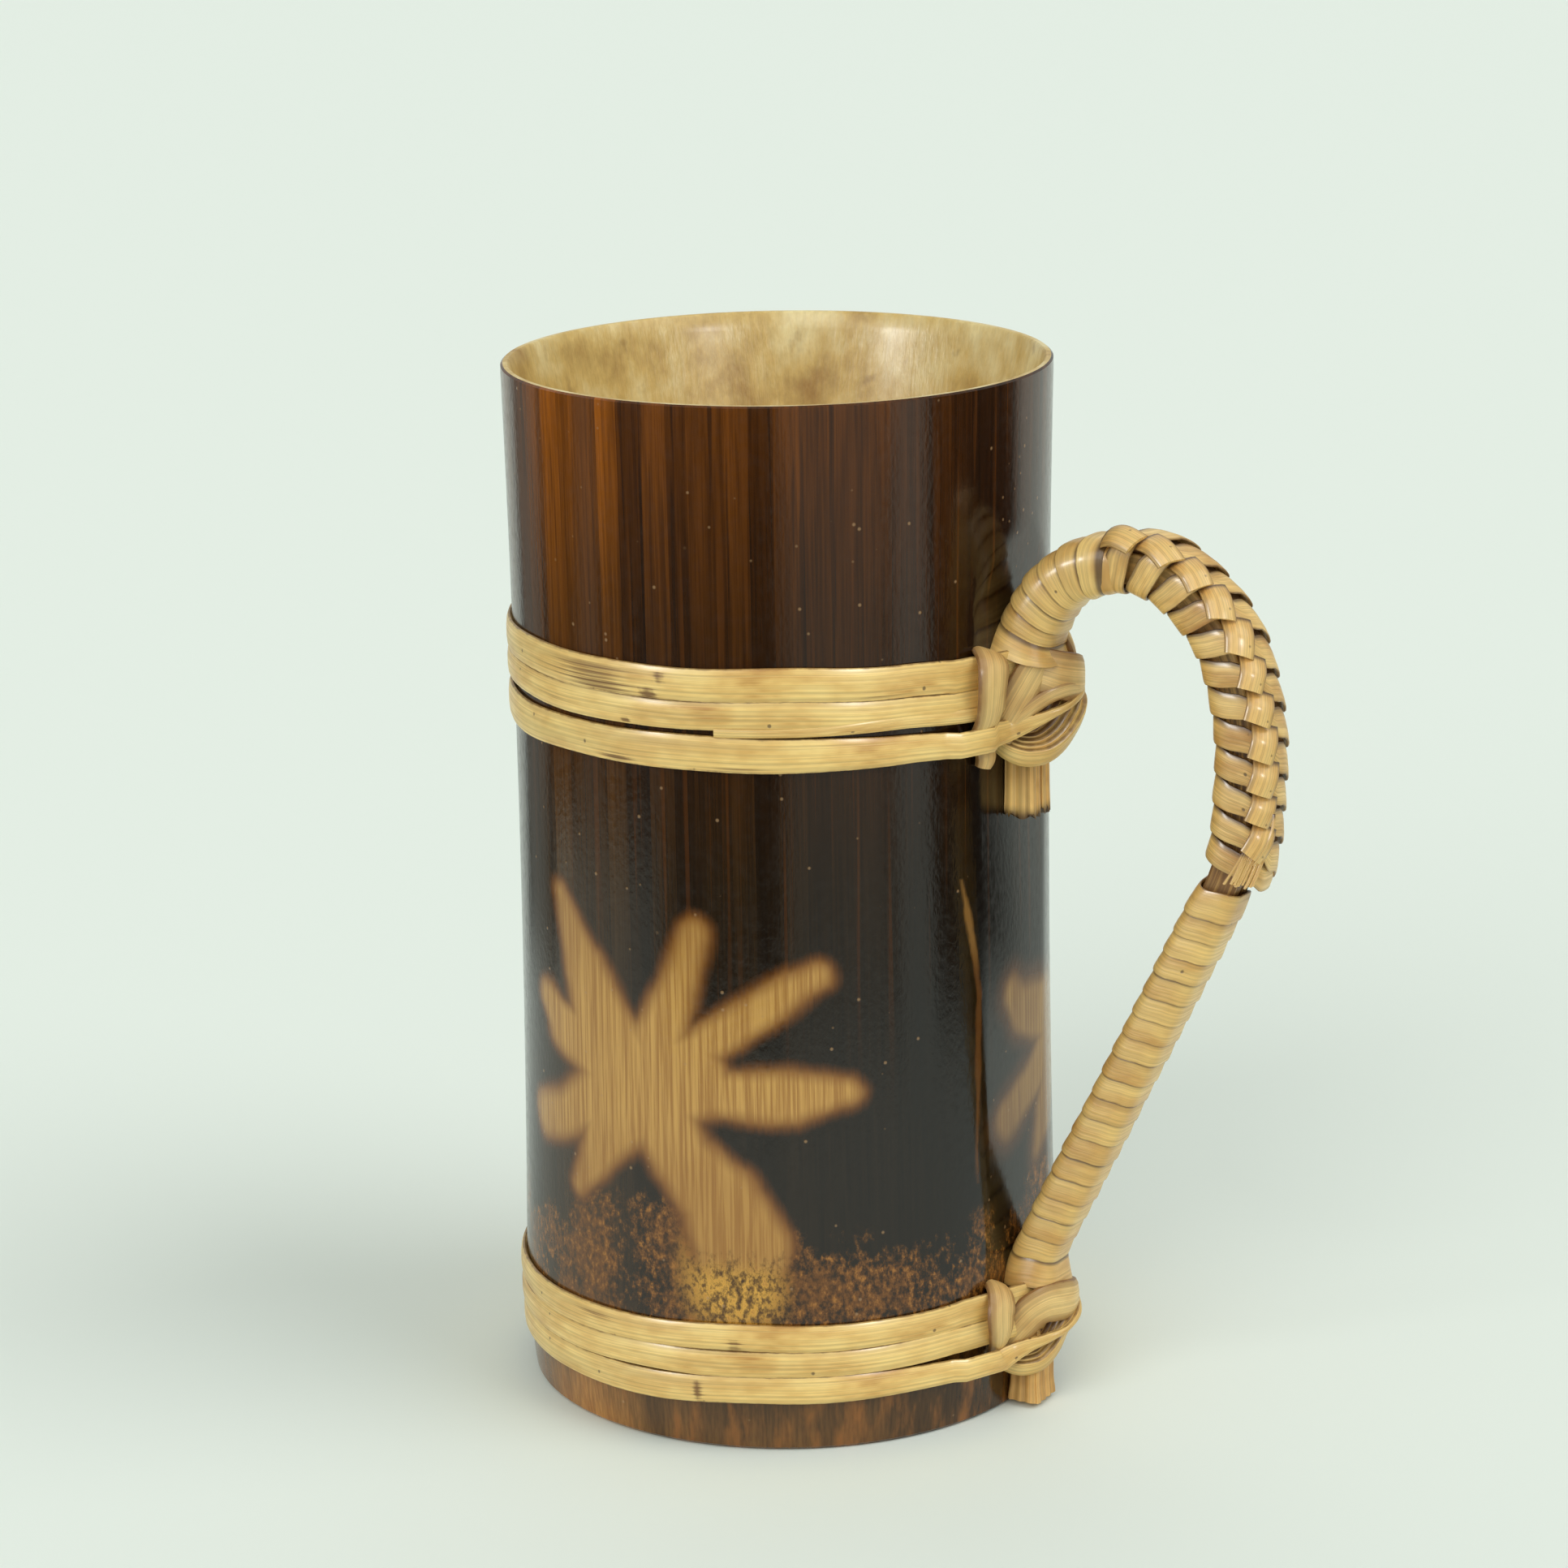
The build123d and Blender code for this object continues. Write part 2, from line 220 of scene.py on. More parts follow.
def newGroup(name, inputs, outputs):
    global openTree
    openTree = bpy.data.node_groups.new(name, "ShaderNodeTree")
    for way, sockets in (("INPUT", inputs), ("OUTPUT", outputs)):
        for label, kind in sockets:
            openTree.interface.new_socket(label, in_out=way, socket_type="NodeSocket" + kind)
    groupIn = openTree.nodes.new("NodeGroupInput").outputs
    groupOut = openTree.nodes.new("NodeGroupOutput").inputs
    return openTree, groupIn, groupOut


def newMaterial(name, **constants):
    global openTree
    material = bpy.data.materials.new(name)
    material.use_nodes = True
    openTree = material.node_tree
    shader = openTree.nodes["Principled BSDF"].inputs
    for label, value in constants.items():
        shader[label.replace("_", " ")].default_value = value
    return material, shader


def bumpInto(shader, height, strength, distance):
    inputs = {"Height": height, "Strength": strength, "Distance": distance}
    plug(shader["Normal"], addNode("Bump", inputs)[0])


# Tapered stroke: distance in millimetres from the edge of a blade between two points
strokeGroup, strokeIn, strokeOut = newGroup(
    "taperedStroke",
    [("Point", "Vector"), ("Start", "Vector"), ("End", "Vector"), ("Start Width", "Float"),
     ("End Width", "Float")],
    [("Distance", "Float")])
fromStart = vectorCalc("SUBTRACT", strokeIn["Point"], strokeIn["Start"])
wholeWay = vectorCalc("SUBTRACT", strokeIn["End"], strokeIn["Start"])
alongDot = vectorCalc("DOT_PRODUCT", fromStart, wholeWay, output=1)
wholeDot = vectorCalc("DOT_PRODUCT", wholeWay, wholeWay, output=1)
alongShare = calc("DIVIDE", alongDot, wholeDot, clamp=True)
foot = addNode("VectorMath", {0: wholeWay, "Scale": alongShare}, operation="SCALE")[0]
offLine = vectorCalc("DISTANCE", fromStart, foot, output=1)
widthSpan = minus(strokeIn["End Width"], strokeIn["Start Width"])
bladeHalf = timesPlus(widthSpan, alongShare, strokeIn["Start Width"])
plug(strokeOut["Distance"], minus(offLine, bladeHalf))

# Peel grain: fine lines along a strip, blotches, dark edges and pinholes, from the strip's own UV
grainGroup, grainIn, grainOut = newGroup(
    "peelGrain", [("UV", "Vector"), ("Lines", "Float"), ("Shift", "Float")],
    [("Lines", "Float"), ("Blotch", "Float"), ("Edge", "Float"), ("Pinhole", "Float")])
grainX, grainY, _ = addNode("SeparateXYZ", {0: grainIn["UV"]})
runAlong = plus(grainX, grainIn["Shift"])
lineAcross = times(grainY, grainIn["Lines"])
lineSpot = flatPoint(times(runAlong, 0.22), lineAcross, grainIn["Shift"])
blotchSpot = flatPoint(runAlong, grainY, grainIn["Shift"])
plug(grainOut["Lines"], noise(lineSpot, 1.0, 4.0, 0.6))
plug(grainOut["Blotch"], noise(blotchSpot, 0.9, 3.0, 0.6))
offMiddle = calc("ABSOLUTE", minus(grainY, 0.5))
frayed = timesPlus(noise(blotchSpot, 7.0, 2.0), 0.1, offMiddle)
plug(grainOut["Edge"], between(frayed, 0.49, 0.56))
holeSpot = flatPoint(runAlong, times(grainY, 0.4), grainIn["Shift"])
holes = addNode("TexVoronoi", {"Vector": holeSpot, "Scale": 2.2})["Distance"]
plug(grainOut["Pinhole"], between(holes, 0.035, 0.075, (1.0, 0.0)))

# the darkest tone here is painted shade, with some grime, for crevices and tucked ends
peelTones = {"warm": (176, 118, 48), "edge": (104, 64, 28), "stain": (104, 62, 24), "rim": (126, 82, 34),
             "shadeAndGrime": (66, 40, 18), "hole": (58, 38, 22)}


def peelMaterial(name, light, dark, lines, shift, sheen, stains, depth, under=None, behind=None, rim=0.0):
    material, shader = newMaterial(name, Coat_Roughness=0.24, Specular_IOR_Level=0.4)
    spot = addNode("UVMap", {})[0]
    grain = addNode("Group", {"UV": spot, "Lines": lines, "Shift": shift}, node_tree=grainGroup)
    body = mixed(between(grain["Blotch"], 0.3, 0.72), light, dark)
    body = tinted(body, between(grain["Lines"], 0.32, 0.68, (1.0 - depth, 1.0 + depth / 2)))
    warm = between(times(grain["Blotch"], grain["Lines"]), 0.3, 0.48, (0.0, stains))
    body = mixed(warm, body, peelTones["warm"])
    body = mixed(times(grain["Edge"], 0.75), body, peelTones["edge"])
    # the stain attribute holds real stains, and also painted shade in the foot bowls and inside the grip
    mark = addNode("Attribute", {}, attribute_name="stain")["Fac"]
    ragged = timesPlus(between(grain["Lines"], 0.3, 0.7), -0.45, mark)
    body = mixed(between(ragged, 0.0, 0.5, (0.0, 0.85)), body, peelTones["stain"])
    plug(shader["Coat Weight"], between(ragged, 0.0, 0.4, (sheen, sheen / 5)))
    along, across, _ = addNode("SeparateXYZ", {0: spot})
    if rim:
        fromMiddle = calc("ABSOLUTE", minus(across, 0.5))
        body = mixed(between(fromMiddle, 0.22, 0.5, (0.0, rim)), body, peelTones["rim"])
    if under:  # painted shade, with some grime, where the neighbouring turn lies over this one
        low, high, start = under
        shadeAndGrime = between(across, low, high, (0.0, 0.8))
        body = mixed(times(shadeAndGrime, between(along, start - 0.4, start)), body, peelTones["shadeAndGrime"])
    if behind:  # painted shade, with some grime, at the strip's start
        body = mixed(between(along, behind, 0.0, (0.0, 0.9)), body, peelTones["shadeAndGrime"])
    body = mixed(times(grain["Pinhole"], 0.7), body, peelTones["hole"])
    plug(shader["Base Color"], body)
    plug(shader["Roughness"], between(grain["Lines"], 0.3, 0.7, (0.56, 0.36)))
    bumpInto(shader, minus(grain["Lines"], times(grain["Pinhole"], 0.8)), 0.55, 0.0002)
    return material


hoopPeel = peelMaterial("hoopPeel", (250, 216, 136), (228, 182, 100), lines=12.0, shift=3.1, sheen=0.4,
                        stains=0.75, depth=0.24)
upperPeel = peelMaterial("upperPeel", (242, 204, 124), (214, 164, 86), lines=14.0, shift=17.3, sheen=0.5,
                         stains=0.5, depth=0.18, under=(0.6, 0.77, 0.0))
lowerPeel = peelMaterial("lowerPeel", (238, 198, 118), (212, 162, 86), lines=14.0, shift=23.9, sheen=0.5,
                         stains=0.5, depth=0.18, under=(0.3, 0.19, 2.4))
tiePeel = peelMaterial("tiePeel", (240, 204, 132), (206, 158, 90), lines=24.0, shift=41.9, sheen=0.22,
                       stains=0.45, depth=0.22, rim=0.62)
braidPeel = peelMaterial("braidPeel", (250, 210, 130), (208, 156, 78), lines=16.0, shift=67.7, sheen=0.5,
                         stains=0.7, depth=0.26, under=(0.24, 0.0, 0.0), rim=0.2)
riderPeel = peelMaterial("riderPeel", (250, 210, 130), (206, 150, 74), lines=20.0, shift=53.2, sheen=0.5,
                         stains=0.8, depth=0.3, behind=0.1, rim=0.3)
caneFibre = peelMaterial("caneFibre", (248, 202, 122), (204, 150, 80), lines=22.0, shift=5.7, sheen=0.05,
                         stains=0.5, depth=0.3, behind=0.22)
# the splint's dark tone is partly its own colour and partly painted shade for the gaps in the braid
splintFibre = peelMaterial("splintFibre", (150, 106, 56), (104, 70, 38), lines=7.0, shift=9.1, sheen=0.05,
                           stains=0.3, depth=0.3)
print("strip materials made")

# Culm: outer skin through belly, waist and rim; a shallow flat for the handle's feet
culm = {"height": 150.0, "rim": 39.0, "waist": 38.35, "waistHeight": 80.0, "belly": 39.3, "bellyHeight": 16.0,
        "foot": 38.3, "wall": 4.8, "lip": 1.3, "lipDepth": 26.0, "floor": 12.0, "floorRound": 5.0,
        "sides": 288, "skinRows": 99, "skinRow": 1.5, "boreRows": 10, "boreRow": 10.7, "lipRows": 10,
        "roundRows": 6, "upperFlat": 37.02, "lowerFlat": 37.95, "flatCrown": 200.0, "flatTop": 120.0,
        "flatLow": 20.7, "flatHigh": 93.0, "flatAngle": 0.6, "flatDepth": 0.7, "runOut": 6.0,
        "crease": math.radians(35), "sawnUnder": 0.2, "rimOver": 149.95, "insideOf": 34}


def skinRadius(height):
    if height < culm["bellyHeight"]:
        fall = (culm["bellyHeight"] - height) / culm["bellyHeight"]
        return culm["belly"] - (culm["belly"] - culm["foot"]) * fall**2
    h0, h1, h2 = culm["bellyHeight"], culm["waistHeight"], culm["height"]
    atBelly = (height - h1) * (height - h2) / ((h0 - h1) * (h0 - h2))
    atWaist = (height - h0) * (height - h2) / ((h1 - h0) * (h1 - h2))
    atRim = (height - h0) * (height - h1) / ((h2 - h0) * (h2 - h1))
    return culm["belly"] * atBelly + culm["waist"] * atWaist + culm["rim"] * atRim


def flatAt(height):  # how far out the flat lies
    share = min(max((height - culm["flatLow"]) / (culm["flatHigh"] - culm["flatLow"]), 0), 1)
    reach = culm["lowerFlat"] + (culm["upperFlat"] - culm["lowerFlat"]) * share
    return reach + max(0, height - culm["flatTop"]) / culm["runOut"]


def roundness(angle):  # a grown culm is never quite round
    return -0.1 * (1 - math.cos(2 * (angle - 0.7))) - 0.05 * (1 - math.cos(3 * angle + 1))


def makeCulm():
    top = culm["height"]
    bore = culm["waist"] - culm["wall"]
    lipIn = culm["rim"] - culm["lip"]
    lipLow = top - culm["lipDepth"]
    corner = culm["floorRound"]
    profile = [(skinRadius(0) - 0.5, 0.0), (skinRadius(0.5), 0.5)]
    profile += [(skinRadius(z), z) for z in [culm["skinRow"] * (1 + row) for row in range(culm["skinRows"])]]
    profile += [(skinRadius(top) - 0.05, top - 0.25), (skinRadius(top) - 0.35, top)]
    profile += [(lipIn + 0.3, top), (lipIn - 0.02, top - 0.3)]
    for row in range(1, culm["lipRows"] + 1):
        share = row / culm["lipRows"]
        profile.append((bore + (lipIn - bore) * (1 - share) ** 1.5, top - culm["lipDepth"] * share))
    profile += [(bore, lipLow - culm["boreRow"] * row) for row in range(1, culm["boreRows"] + 1)]
    for row in range(1, culm["roundRows"] + 1):
        bent = math.pi / 2 * row / culm["roundRows"]
        reach = bore - corner + corner * math.cos(bent)
        profile.append((reach, culm["floor"] + corner - corner * math.sin(bent)))
    profile += [(bore * share, culm["floor"]) for share in (0.6, 0.3, 0.05)]
    bpy.ops.object.select_all(action="DESELECT")
    bpy.ops.mesh.primitive_circle_add(vertices=culm["sides"], radius=profile[0][0] * mm, fill_type="NOTHING")
    cup = bpy.context.object
    cup.name = "culmCup"
    bpy.ops.object.mode_set(mode="EDIT")
    bpy.ops.mesh.select_all(action="SELECT")
    for (lastRadius, lastHeight), (radius, height) in zip(profile, profile[1:]):
        bpy.ops.mesh.extrude_edges_move(TRANSFORM_OT_translate={"value": (0, 0, (height - lastHeight) * mm)})
        grow = radius / lastRadius
        bpy.ops.transform.resize(value=(grow, grow, 1), center_override=(0, 0, height * mm))
    bpy.ops.mesh.merge(type="CENTER")
    bpy.ops.mesh.select_all(action="DESELECT")
    bpy.ops.mesh.select_non_manifold()  # the open ring under the base
    for share in (0.87, 0.5, 0.1):
        bpy.ops.mesh.extrude_edges_move()
        bpy.ops.transform.resize(value=(share, share, 1), center_override=(0, 0, 0))
    bpy.ops.mesh.merge(type="CENTER")
    bpy.ops.mesh.select_all(action="SELECT")
    bpy.ops.mesh.normals_make_consistent(inside=False)
    bpy.ops.object.mode_set(mode="OBJECT")
    for vertex in cup.data.vertices:
        x, y, z = vertex.co / mm
        radius = math.hypot(x, y)
        if radius < 1:
            continue
        angle = math.atan2(y, x)
        grown = (radius + roundness(angle) * min(1, radius / bore)) / radius
        x, y = x * grown, y * grown
        if radius > skinRadius(z) - culm["flatDepth"] and abs(angle) < culm["flatAngle"]:
            x = min(x, flatAt(z) - y * y / 2 / culm["flatCrown"])
        vertex.co = Vector((x, y, z)) * mm
    bpy.ops.object.shade_smooth_by_angle(angle=culm["crease"])
    return cup


culmPiece = makeCulm()
print("culm made")

# Handle: rounded line of the loop, from the end of the upper foot to the end of the lower one
handle = {"corners": [(39.31, 88.0), (39.31, 114.0), (46.01, 124.2), (59.51, 126.1), (69.51, 116.9),
                      (72.91, 104.0), (71.91, 85.7), (40.2, 20.7), (40.2, 0.8)],
          "bends": [18.0, 12.1, 12.9, 17.0, 38.1, 27.0, 20.0], "arcStep": 0.25,
          "canes": 2.95, "caneGap": 0.12, "caneDepth": 4.6, "fluteDepth": 0.21, "fluteWidth": 1.5,
          "bareTop": 30, "bareFoot": 26, "bareFrom": 0.85, "tornEnds": 24, "row": 1.5,
          "nearTop": [0, 0.5, 1.2, 2.4, 4, 6, 8, 10, 12, 14, 17, 20, 23],
          "nearFoot": [22, 19, 16, 13, 10, 8, 6, 4.5, 3.2, 2.2, 1.4, 0.7, 0],
          "footFlare": 0.12, "footFlareRun": 1.6, "topFlare": 0.05, "topFlareRun": 3.0,
          "footRun": 20, "footOut": 0.35, "footLean": 1.2}


def roundedLine(corners, bends, arcStep):
    points = [Vector((x, 0, z)) for x, z in corners]
    line = [points[0]]
    for before, corner, after, radius in zip(points, points[1:], points[2:], bends):
        runIn = (corner - before).normalized()
        runOut = (after - corner).normalized()
        turn = runIn.angle(runOut)
        start = corner - runIn * (radius * math.tan(turn / 2))
        inward = runIn.cross(runOut).normalized().cross(runIn)
        count = max(4, round(radius * turn / arcStep))
        for step in range(count + 1):
            bent = turn * step / count
            line.append(start + runIn * (radius * math.sin(bent)) + inward * (radius * (1 - math.cos(bent))))
    line.append(points[-1])
    return line


handleLine = roundedLine(handle["corners"], handle["bends"], handle["arcStep"])
handleReach = [0.0]
for lastPoint, point in zip(handleLine, handleLine[1:]):
    handleReach.append(handleReach[-1] + (point - lastPoint).length)
handleRuns = [(handleLine[min(i + 1, len(handleLine) - 1)] - handleLine[max(i - 1, 0)]).normalized()
              for i in range(len(handleLine))]
handleLength = handleReach[-1]


# Place beside the handle's line: along it, out from the loop, and across to the far side
def beside(along, out, across):
    last = min(max(bisect(handleReach, along), 1), len(handleReach) - 1)
    before, after = handleLine[last - 1], handleLine[last]
    share = (along - handleReach[last - 1]) / (handleReach[last] - handleReach[last - 1])
    point = before.lerp(after, share) if 0 <= share <= 1 else before + (after - before) * share
    run = handleRuns[last - 1].lerp(handleRuns[last], min(max(share, 0), 1)).normalized()
    return point + Vector((-run.z, 0, run.x)) * out + sideways * across


def boxSection(perSide):  # square with eased corners, once round
    edge = [2 * step / perSide - 1 for step in range(perSide)]
    square = [(t, 1) for t in edge] + [(1, -t) for t in edge]
    square += [(-t, -1) for t in edge] + [(-1, t) for t in edge]
    return [(a * (1 - 0.1 * abs(a * h) ** 5), h * (1 - 0.1 * abs(a * h) ** 5)) for a, h in square]


def handleCane(name, side):
    middle = side * (handle["canes"] + handle["caneGap"]) / 2
    half = handle["canes"] / 2
    depth = handle["caneDepth"] / 2
    ragged = random.Random(7 + side)
    ends = [ragged.uniform(-0.6, 1.0) for _ in range(handle["tornEnds"])]
    top, row = handle["nearTop"], handle["row"]
    plainRows = int((handleLength - 2 * top[-1]) / row)
    stops = top + [top[-1] + row * k for k in range(1, plainRows)]
    stops += [handleLength - back for back in handle["nearFoot"]]

    def ridge(spot):
        return handle["fluteDepth"] * math.cos(spot * math.pi / handle["fluteWidth"]) ** 4

    def place(step, across, height):
        along = stops[step]
        if step < 2:  # torn upper end
            along += max(0, ends[int((across * 0.5 + height * 0.5 + 1) * 11)]) * (1 - step / 2)
        bare = along < handle["bareTop"] or along > handleLength - handle["bareFoot"]
        out = height * depth
        offset = across * half
        if bare and abs(height) > handle["bareFrom"]:
            out -= math.copysign(ridge(offset + middle), height)
        if bare and abs(across) > handle["bareFrom"]:
            offset -= math.copysign(ridge(out + 0.3 * side), across)
        flared = 1 + handle["footFlare"] * math.exp(-((along - handleLength) / handle["footFlareRun"]) ** 2)
        flared += handle["topFlare"] * math.exp(-(along / handle["topFlareRun"]) ** 2)
        foot = 1 - min(1, max(0, (handleLength - along) / handle["footRun"]))  # it leans to the near side
        offset = offset * flared - handle["footLean"] * foot
        return beside(along, out * flared + handle["footOut"] * foot, middle + offset)

    return layStrip(name, len(stops) - 1, boxSection(14), place, True)


nearCane = handleCane("handleCaneNear", -1)
farCane = handleCane("handleCaneFar", 1)
print("canes bent")

# Wraps: one strip each; a turn's raised edge lies over its neighbour
plainWrap = {"low": -2.75, "high": 2.75, "half": 3.55, "sway": 0.22, "lapSpread": (0.75, 1.25),
             "skirtTurns": 1.25, "skirtFade": 0.45, "skirtSide": 4.4, "skirtLeast": 0.35, "dipTurns": 1.3,
             "hemTurns": 1.1}
upperWrap = {**plainWrap, "start": 22.6, "pitch": 2.8, "turns": 8, "width": 3.7, "boxy": 0.62,
             "thickness": 0.45, "lap": -0.6, "lean": 0.0, "skirt": 2.2, "dip": 0.7, "hem": 0.0, "seed": 3}
lowerWrap = {**plainWrap, "start": 97.3, "pitch": 3.58, "turns": 19, "width": 4.5, "boxy": 0.5,
             "thickness": 0.42, "lap": 0.42, "lean": 0.45, "skirt": 0.0, "dip": 0.0, "hem": 1.5, "seed": 23}
braidWrap = {"start": 41.6, "pitch": 4.36, "turns": 12, "width": 3.95, "low": -3.1, "high": 4.6, "half": 3.85,
             "boxy": 0.62, "thickness": 0.5, "lap": 0.42, "flare": 0.1, "seed": 11,
             "widthSpread": (0.94, 1.06), "fingerSide": 3.6, "fingerWide": 0.08, "outerFarSide": 0.5,
             "riderSide": 5.3, "riderReach": 0.7, "riderPinch": 0.26,
             "sag": [(0, 2.6), (45, 4.0), (90, 3.2), (180, 0.0), (225, 0.0), (315, 1.0), (360, 2.6)]}
stepsPerTurn = 48
windStart = math.pi / 2  # a winding starts and ends on the far side


def girth(angle, wrap):
    c, s = math.cos(angle), math.sin(angle)
    boxy = wrap["boxy"]
    reach = (wrap["high"] - wrap["low"]) / 2
    out = (wrap["high"] + wrap["low"]) / 2 + reach * math.copysign(abs(c) ** boxy, c)
    across = wrap["half"] * math.copysign(abs(s) ** boxy, s)
    square = 2 - boxy
    faceOut = math.copysign(abs(c) ** square, c) / reach
    faceAcross = math.copysign(abs(s) ** square, s) / wrap["half"]
    return out, across, Vector((faceOut, faceAcross)).normalized()


def windPlain(name, wrap):
    wander = random.Random(wrap["seed"])
    sways = [wander.uniform(-wrap["sway"], wrap["sway"]) for _ in range(wrap["turns"] + 2)]
    laps = [wander.uniform(*wrap["lapSpread"]) for _ in range(wrap["turns"] + 2)]

    def place(step, across, height):
        turn = step / stepsPerTurn
        angle = fullTurn * turn + windStart
        lap = wrap["lap"] * onWay(laps, turn)
        out, side, normal = girth(angle, wrap)
        along = wrap["start"] + wrap["pitch"] * turn + wrap["width"] / 2 * (1 + across) + onWay(sways, turn)
        along -= wrap["lean"] * out  # turns lie lower on the finger side
        lift = wrap["thickness"] * height + lap * (across if lap > 0 else across - 2) / 2 + abs(lap) / 2
        toGo = wrap["turns"] - turn
        lift -= wrap["dip"] * max(0, wrap["dipTurns"] - toGo)  # the last turn goes in under the braid
        hem = wrap["hem"] * max(0, wrap["hemTurns"] - toGo) * (1 + across) / 2  # or out over the knot
        along += hem
        lift += hem
        if turn < wrap["skirtTurns"]:  # the first turn spreads over the knot, most on the near side
            nearSide = max(0, math.cos(angle - wrap["skirtSide"]))
            flare = min(1, (wrap["skirtTurns"] - turn) / wrap["skirtFade"])
            flare *= wrap["skirtLeast"] + (1 - wrap["skirtLeast"]) * nearSide
            lift += wrap["skirt"] * flare * (1 - across) / 2
        return beside(along, out + normal.x * lift, side + normal.y * lift)

    return layStrip(name, wrap["turns"] * stepsPerTurn, wrapSection, place)


# The braid's strip slopes down from the finger side to the outer far side, then climbs back
def windBraid():
    wander = random.Random(braidWrap["seed"])
    wide = [wander.uniform(*braidWrap["widthSpread"]) for _ in range(braidWrap["turns"] + 2)]

    def place(step, across, height):
        turn = step / stepsPerTurn
        toGo = braidWrap["turns"] - turn
        angle = (fullTurn * turn + windStart) % fullTurn
        inner = max(0.0, math.cos(angle - braidWrap["fingerSide"]))  # where the turns lie close
        outer = max(0.0, math.cos(angle - braidWrap["outerFarSide"])) ** 1.5  # where their edges stand off
        pinch = math.exp(-((angle - braidWrap["riderSide"]) / braidWrap["riderReach"]) ** 2)
        width = braidWrap["width"] * onWay(wide, turn)
        width *= 1 + braidWrap["fingerWide"] * inner - braidWrap["riderPinch"] * pinch
        along = braidWrap["start"] + braidWrap["pitch"] * turn + braidWrap["width"] / 2 + across * width / 2
        along += stepThrough(braidWrap["sag"], math.degrees(angle)) * min(1, turn + 0.8, toGo / 0.8)
        out, side, normal = girth(angle, braidWrap)
        rise = (braidWrap["lap"] + braidWrap["flare"] * outer) * min(1, 0.2 + toGo / 0.7)
        lift = braidWrap["thickness"] * height + rise * (across + 1) / 2
        return beside(along, out + normal.x * lift, side + normal.y * lift)

    return layStrip("braidWrap", braidWrap["turns"] * stepsPerTurn, wrapSection, place)


upperWrapPiece = windPlain("upperHandleWrap", upperWrap)
lowerWrapPiece = windPlain("lowerHandleWrap", lowerWrap)
braidWrapPiece = windBraid()
print("wraps wound")

# Splint under the braid, and the lengthwise strip that shows as one square on each turn
braidSplint = {"start": 47.0, "end": 96.6, "low": 2.4, "thickness": 1.9, "half": 2.5, "steps": 40}
braidRider = {"squares": 11, "turnShare": 0.62, "length": 4.35, "half": 1.95, "cornerRound": 1.6, "rise": 1.5,
              "slide": -0.3, "lean": 24, "leanSway": 6, "sizeSpread": (0.94, 1.05), "riseSpread": (0.9, 1.15),
              "thickness": 0.5, "steps": 12}
riderEnd = {"below": 1.3, "fibres": 13, "length": 4.3, "span": 3.3, "shift": 0.6, "fan": 1.2, "drift": 1.5,
            "sway": 0.25, "lengthSpread": (0.82, 1.05), "lifts": (0.9, 1.5), "widths": (0.32, 0.55),
            "stand": 0.8, "thickness": 0.4, "steps": 8}
looseFibre = {"above": 5.4, "length": 6.6, "from": 0.9, "drift": 2.3, "half": 0.22, "stand": 2.1, "bow": 0.9,
              "thickness": 0.35, "steps": 14}


def makeSplint():
    length = braidSplint["end"] - braidSplint["start"]

    def place(step, across, height):
        along = braidSplint["start"] + length * step / braidSplint["steps"]
        out = braidSplint["low"] + height * braidSplint["thickness"]
        return beside(along, out, across * braidSplint["half"])

    return layStrip("gripSplint", braidSplint["steps"], flatSection, place)


# Place on the corner of the grip that looks out and to the near side
def onCorner(along, slide, stand):
    corner = (braidWrap["high"] - braidRider["cornerRound"], braidRider["cornerRound"] - braidWrap["half"])
    reach = (braidRider["cornerRound"] + stand) * math.sqrt(0.5)
    slid = slide * math.sqrt(0.5)
    return beside(along, corner[0] + reach + slid, corner[1] - reach + slid)


def riderMiddle(number):
    turn = number + braidRider["turnShare"]
    return braidWrap["start"] + braidWrap["pitch"] * turn + braidWrap["width"] / 2 + 0.5


def riderSquare(number):
    wander = random.Random(100 + number)
    lean = math.radians(braidRider["lean"] + wander.uniform(-braidRider["leanSway"], braidRider["leanSway"]))
    half = braidRider["half"] * wander.uniform(*braidRider["sizeSpread"])
    long = braidRider["length"] * wander.uniform(*braidRider["sizeSpread"])
    rise = braidRider["rise"] * wander.uniform(*braidRider["riseSpread"])
    c, s = math.cos(lean), math.sin(lean)

    def place(step, across, height):
        share = step / braidRider["steps"]
        down, right = (share - 0.5) * long, across * half
        stand = -0.1 + rise * math.sin(math.pi / 2 * min(1, share * 1.7)) - 0.25 * max(0, share - 0.75)
        stand += height * braidRider["thickness"] - 0.45 * across**2
        along = riderMiddle(number) + c * down + s * right
        return onCorner(along, c * right - s * down + braidRider["slide"], stand)

    return layStrip("riderSquare", braidRider["steps"], peelSection, place)


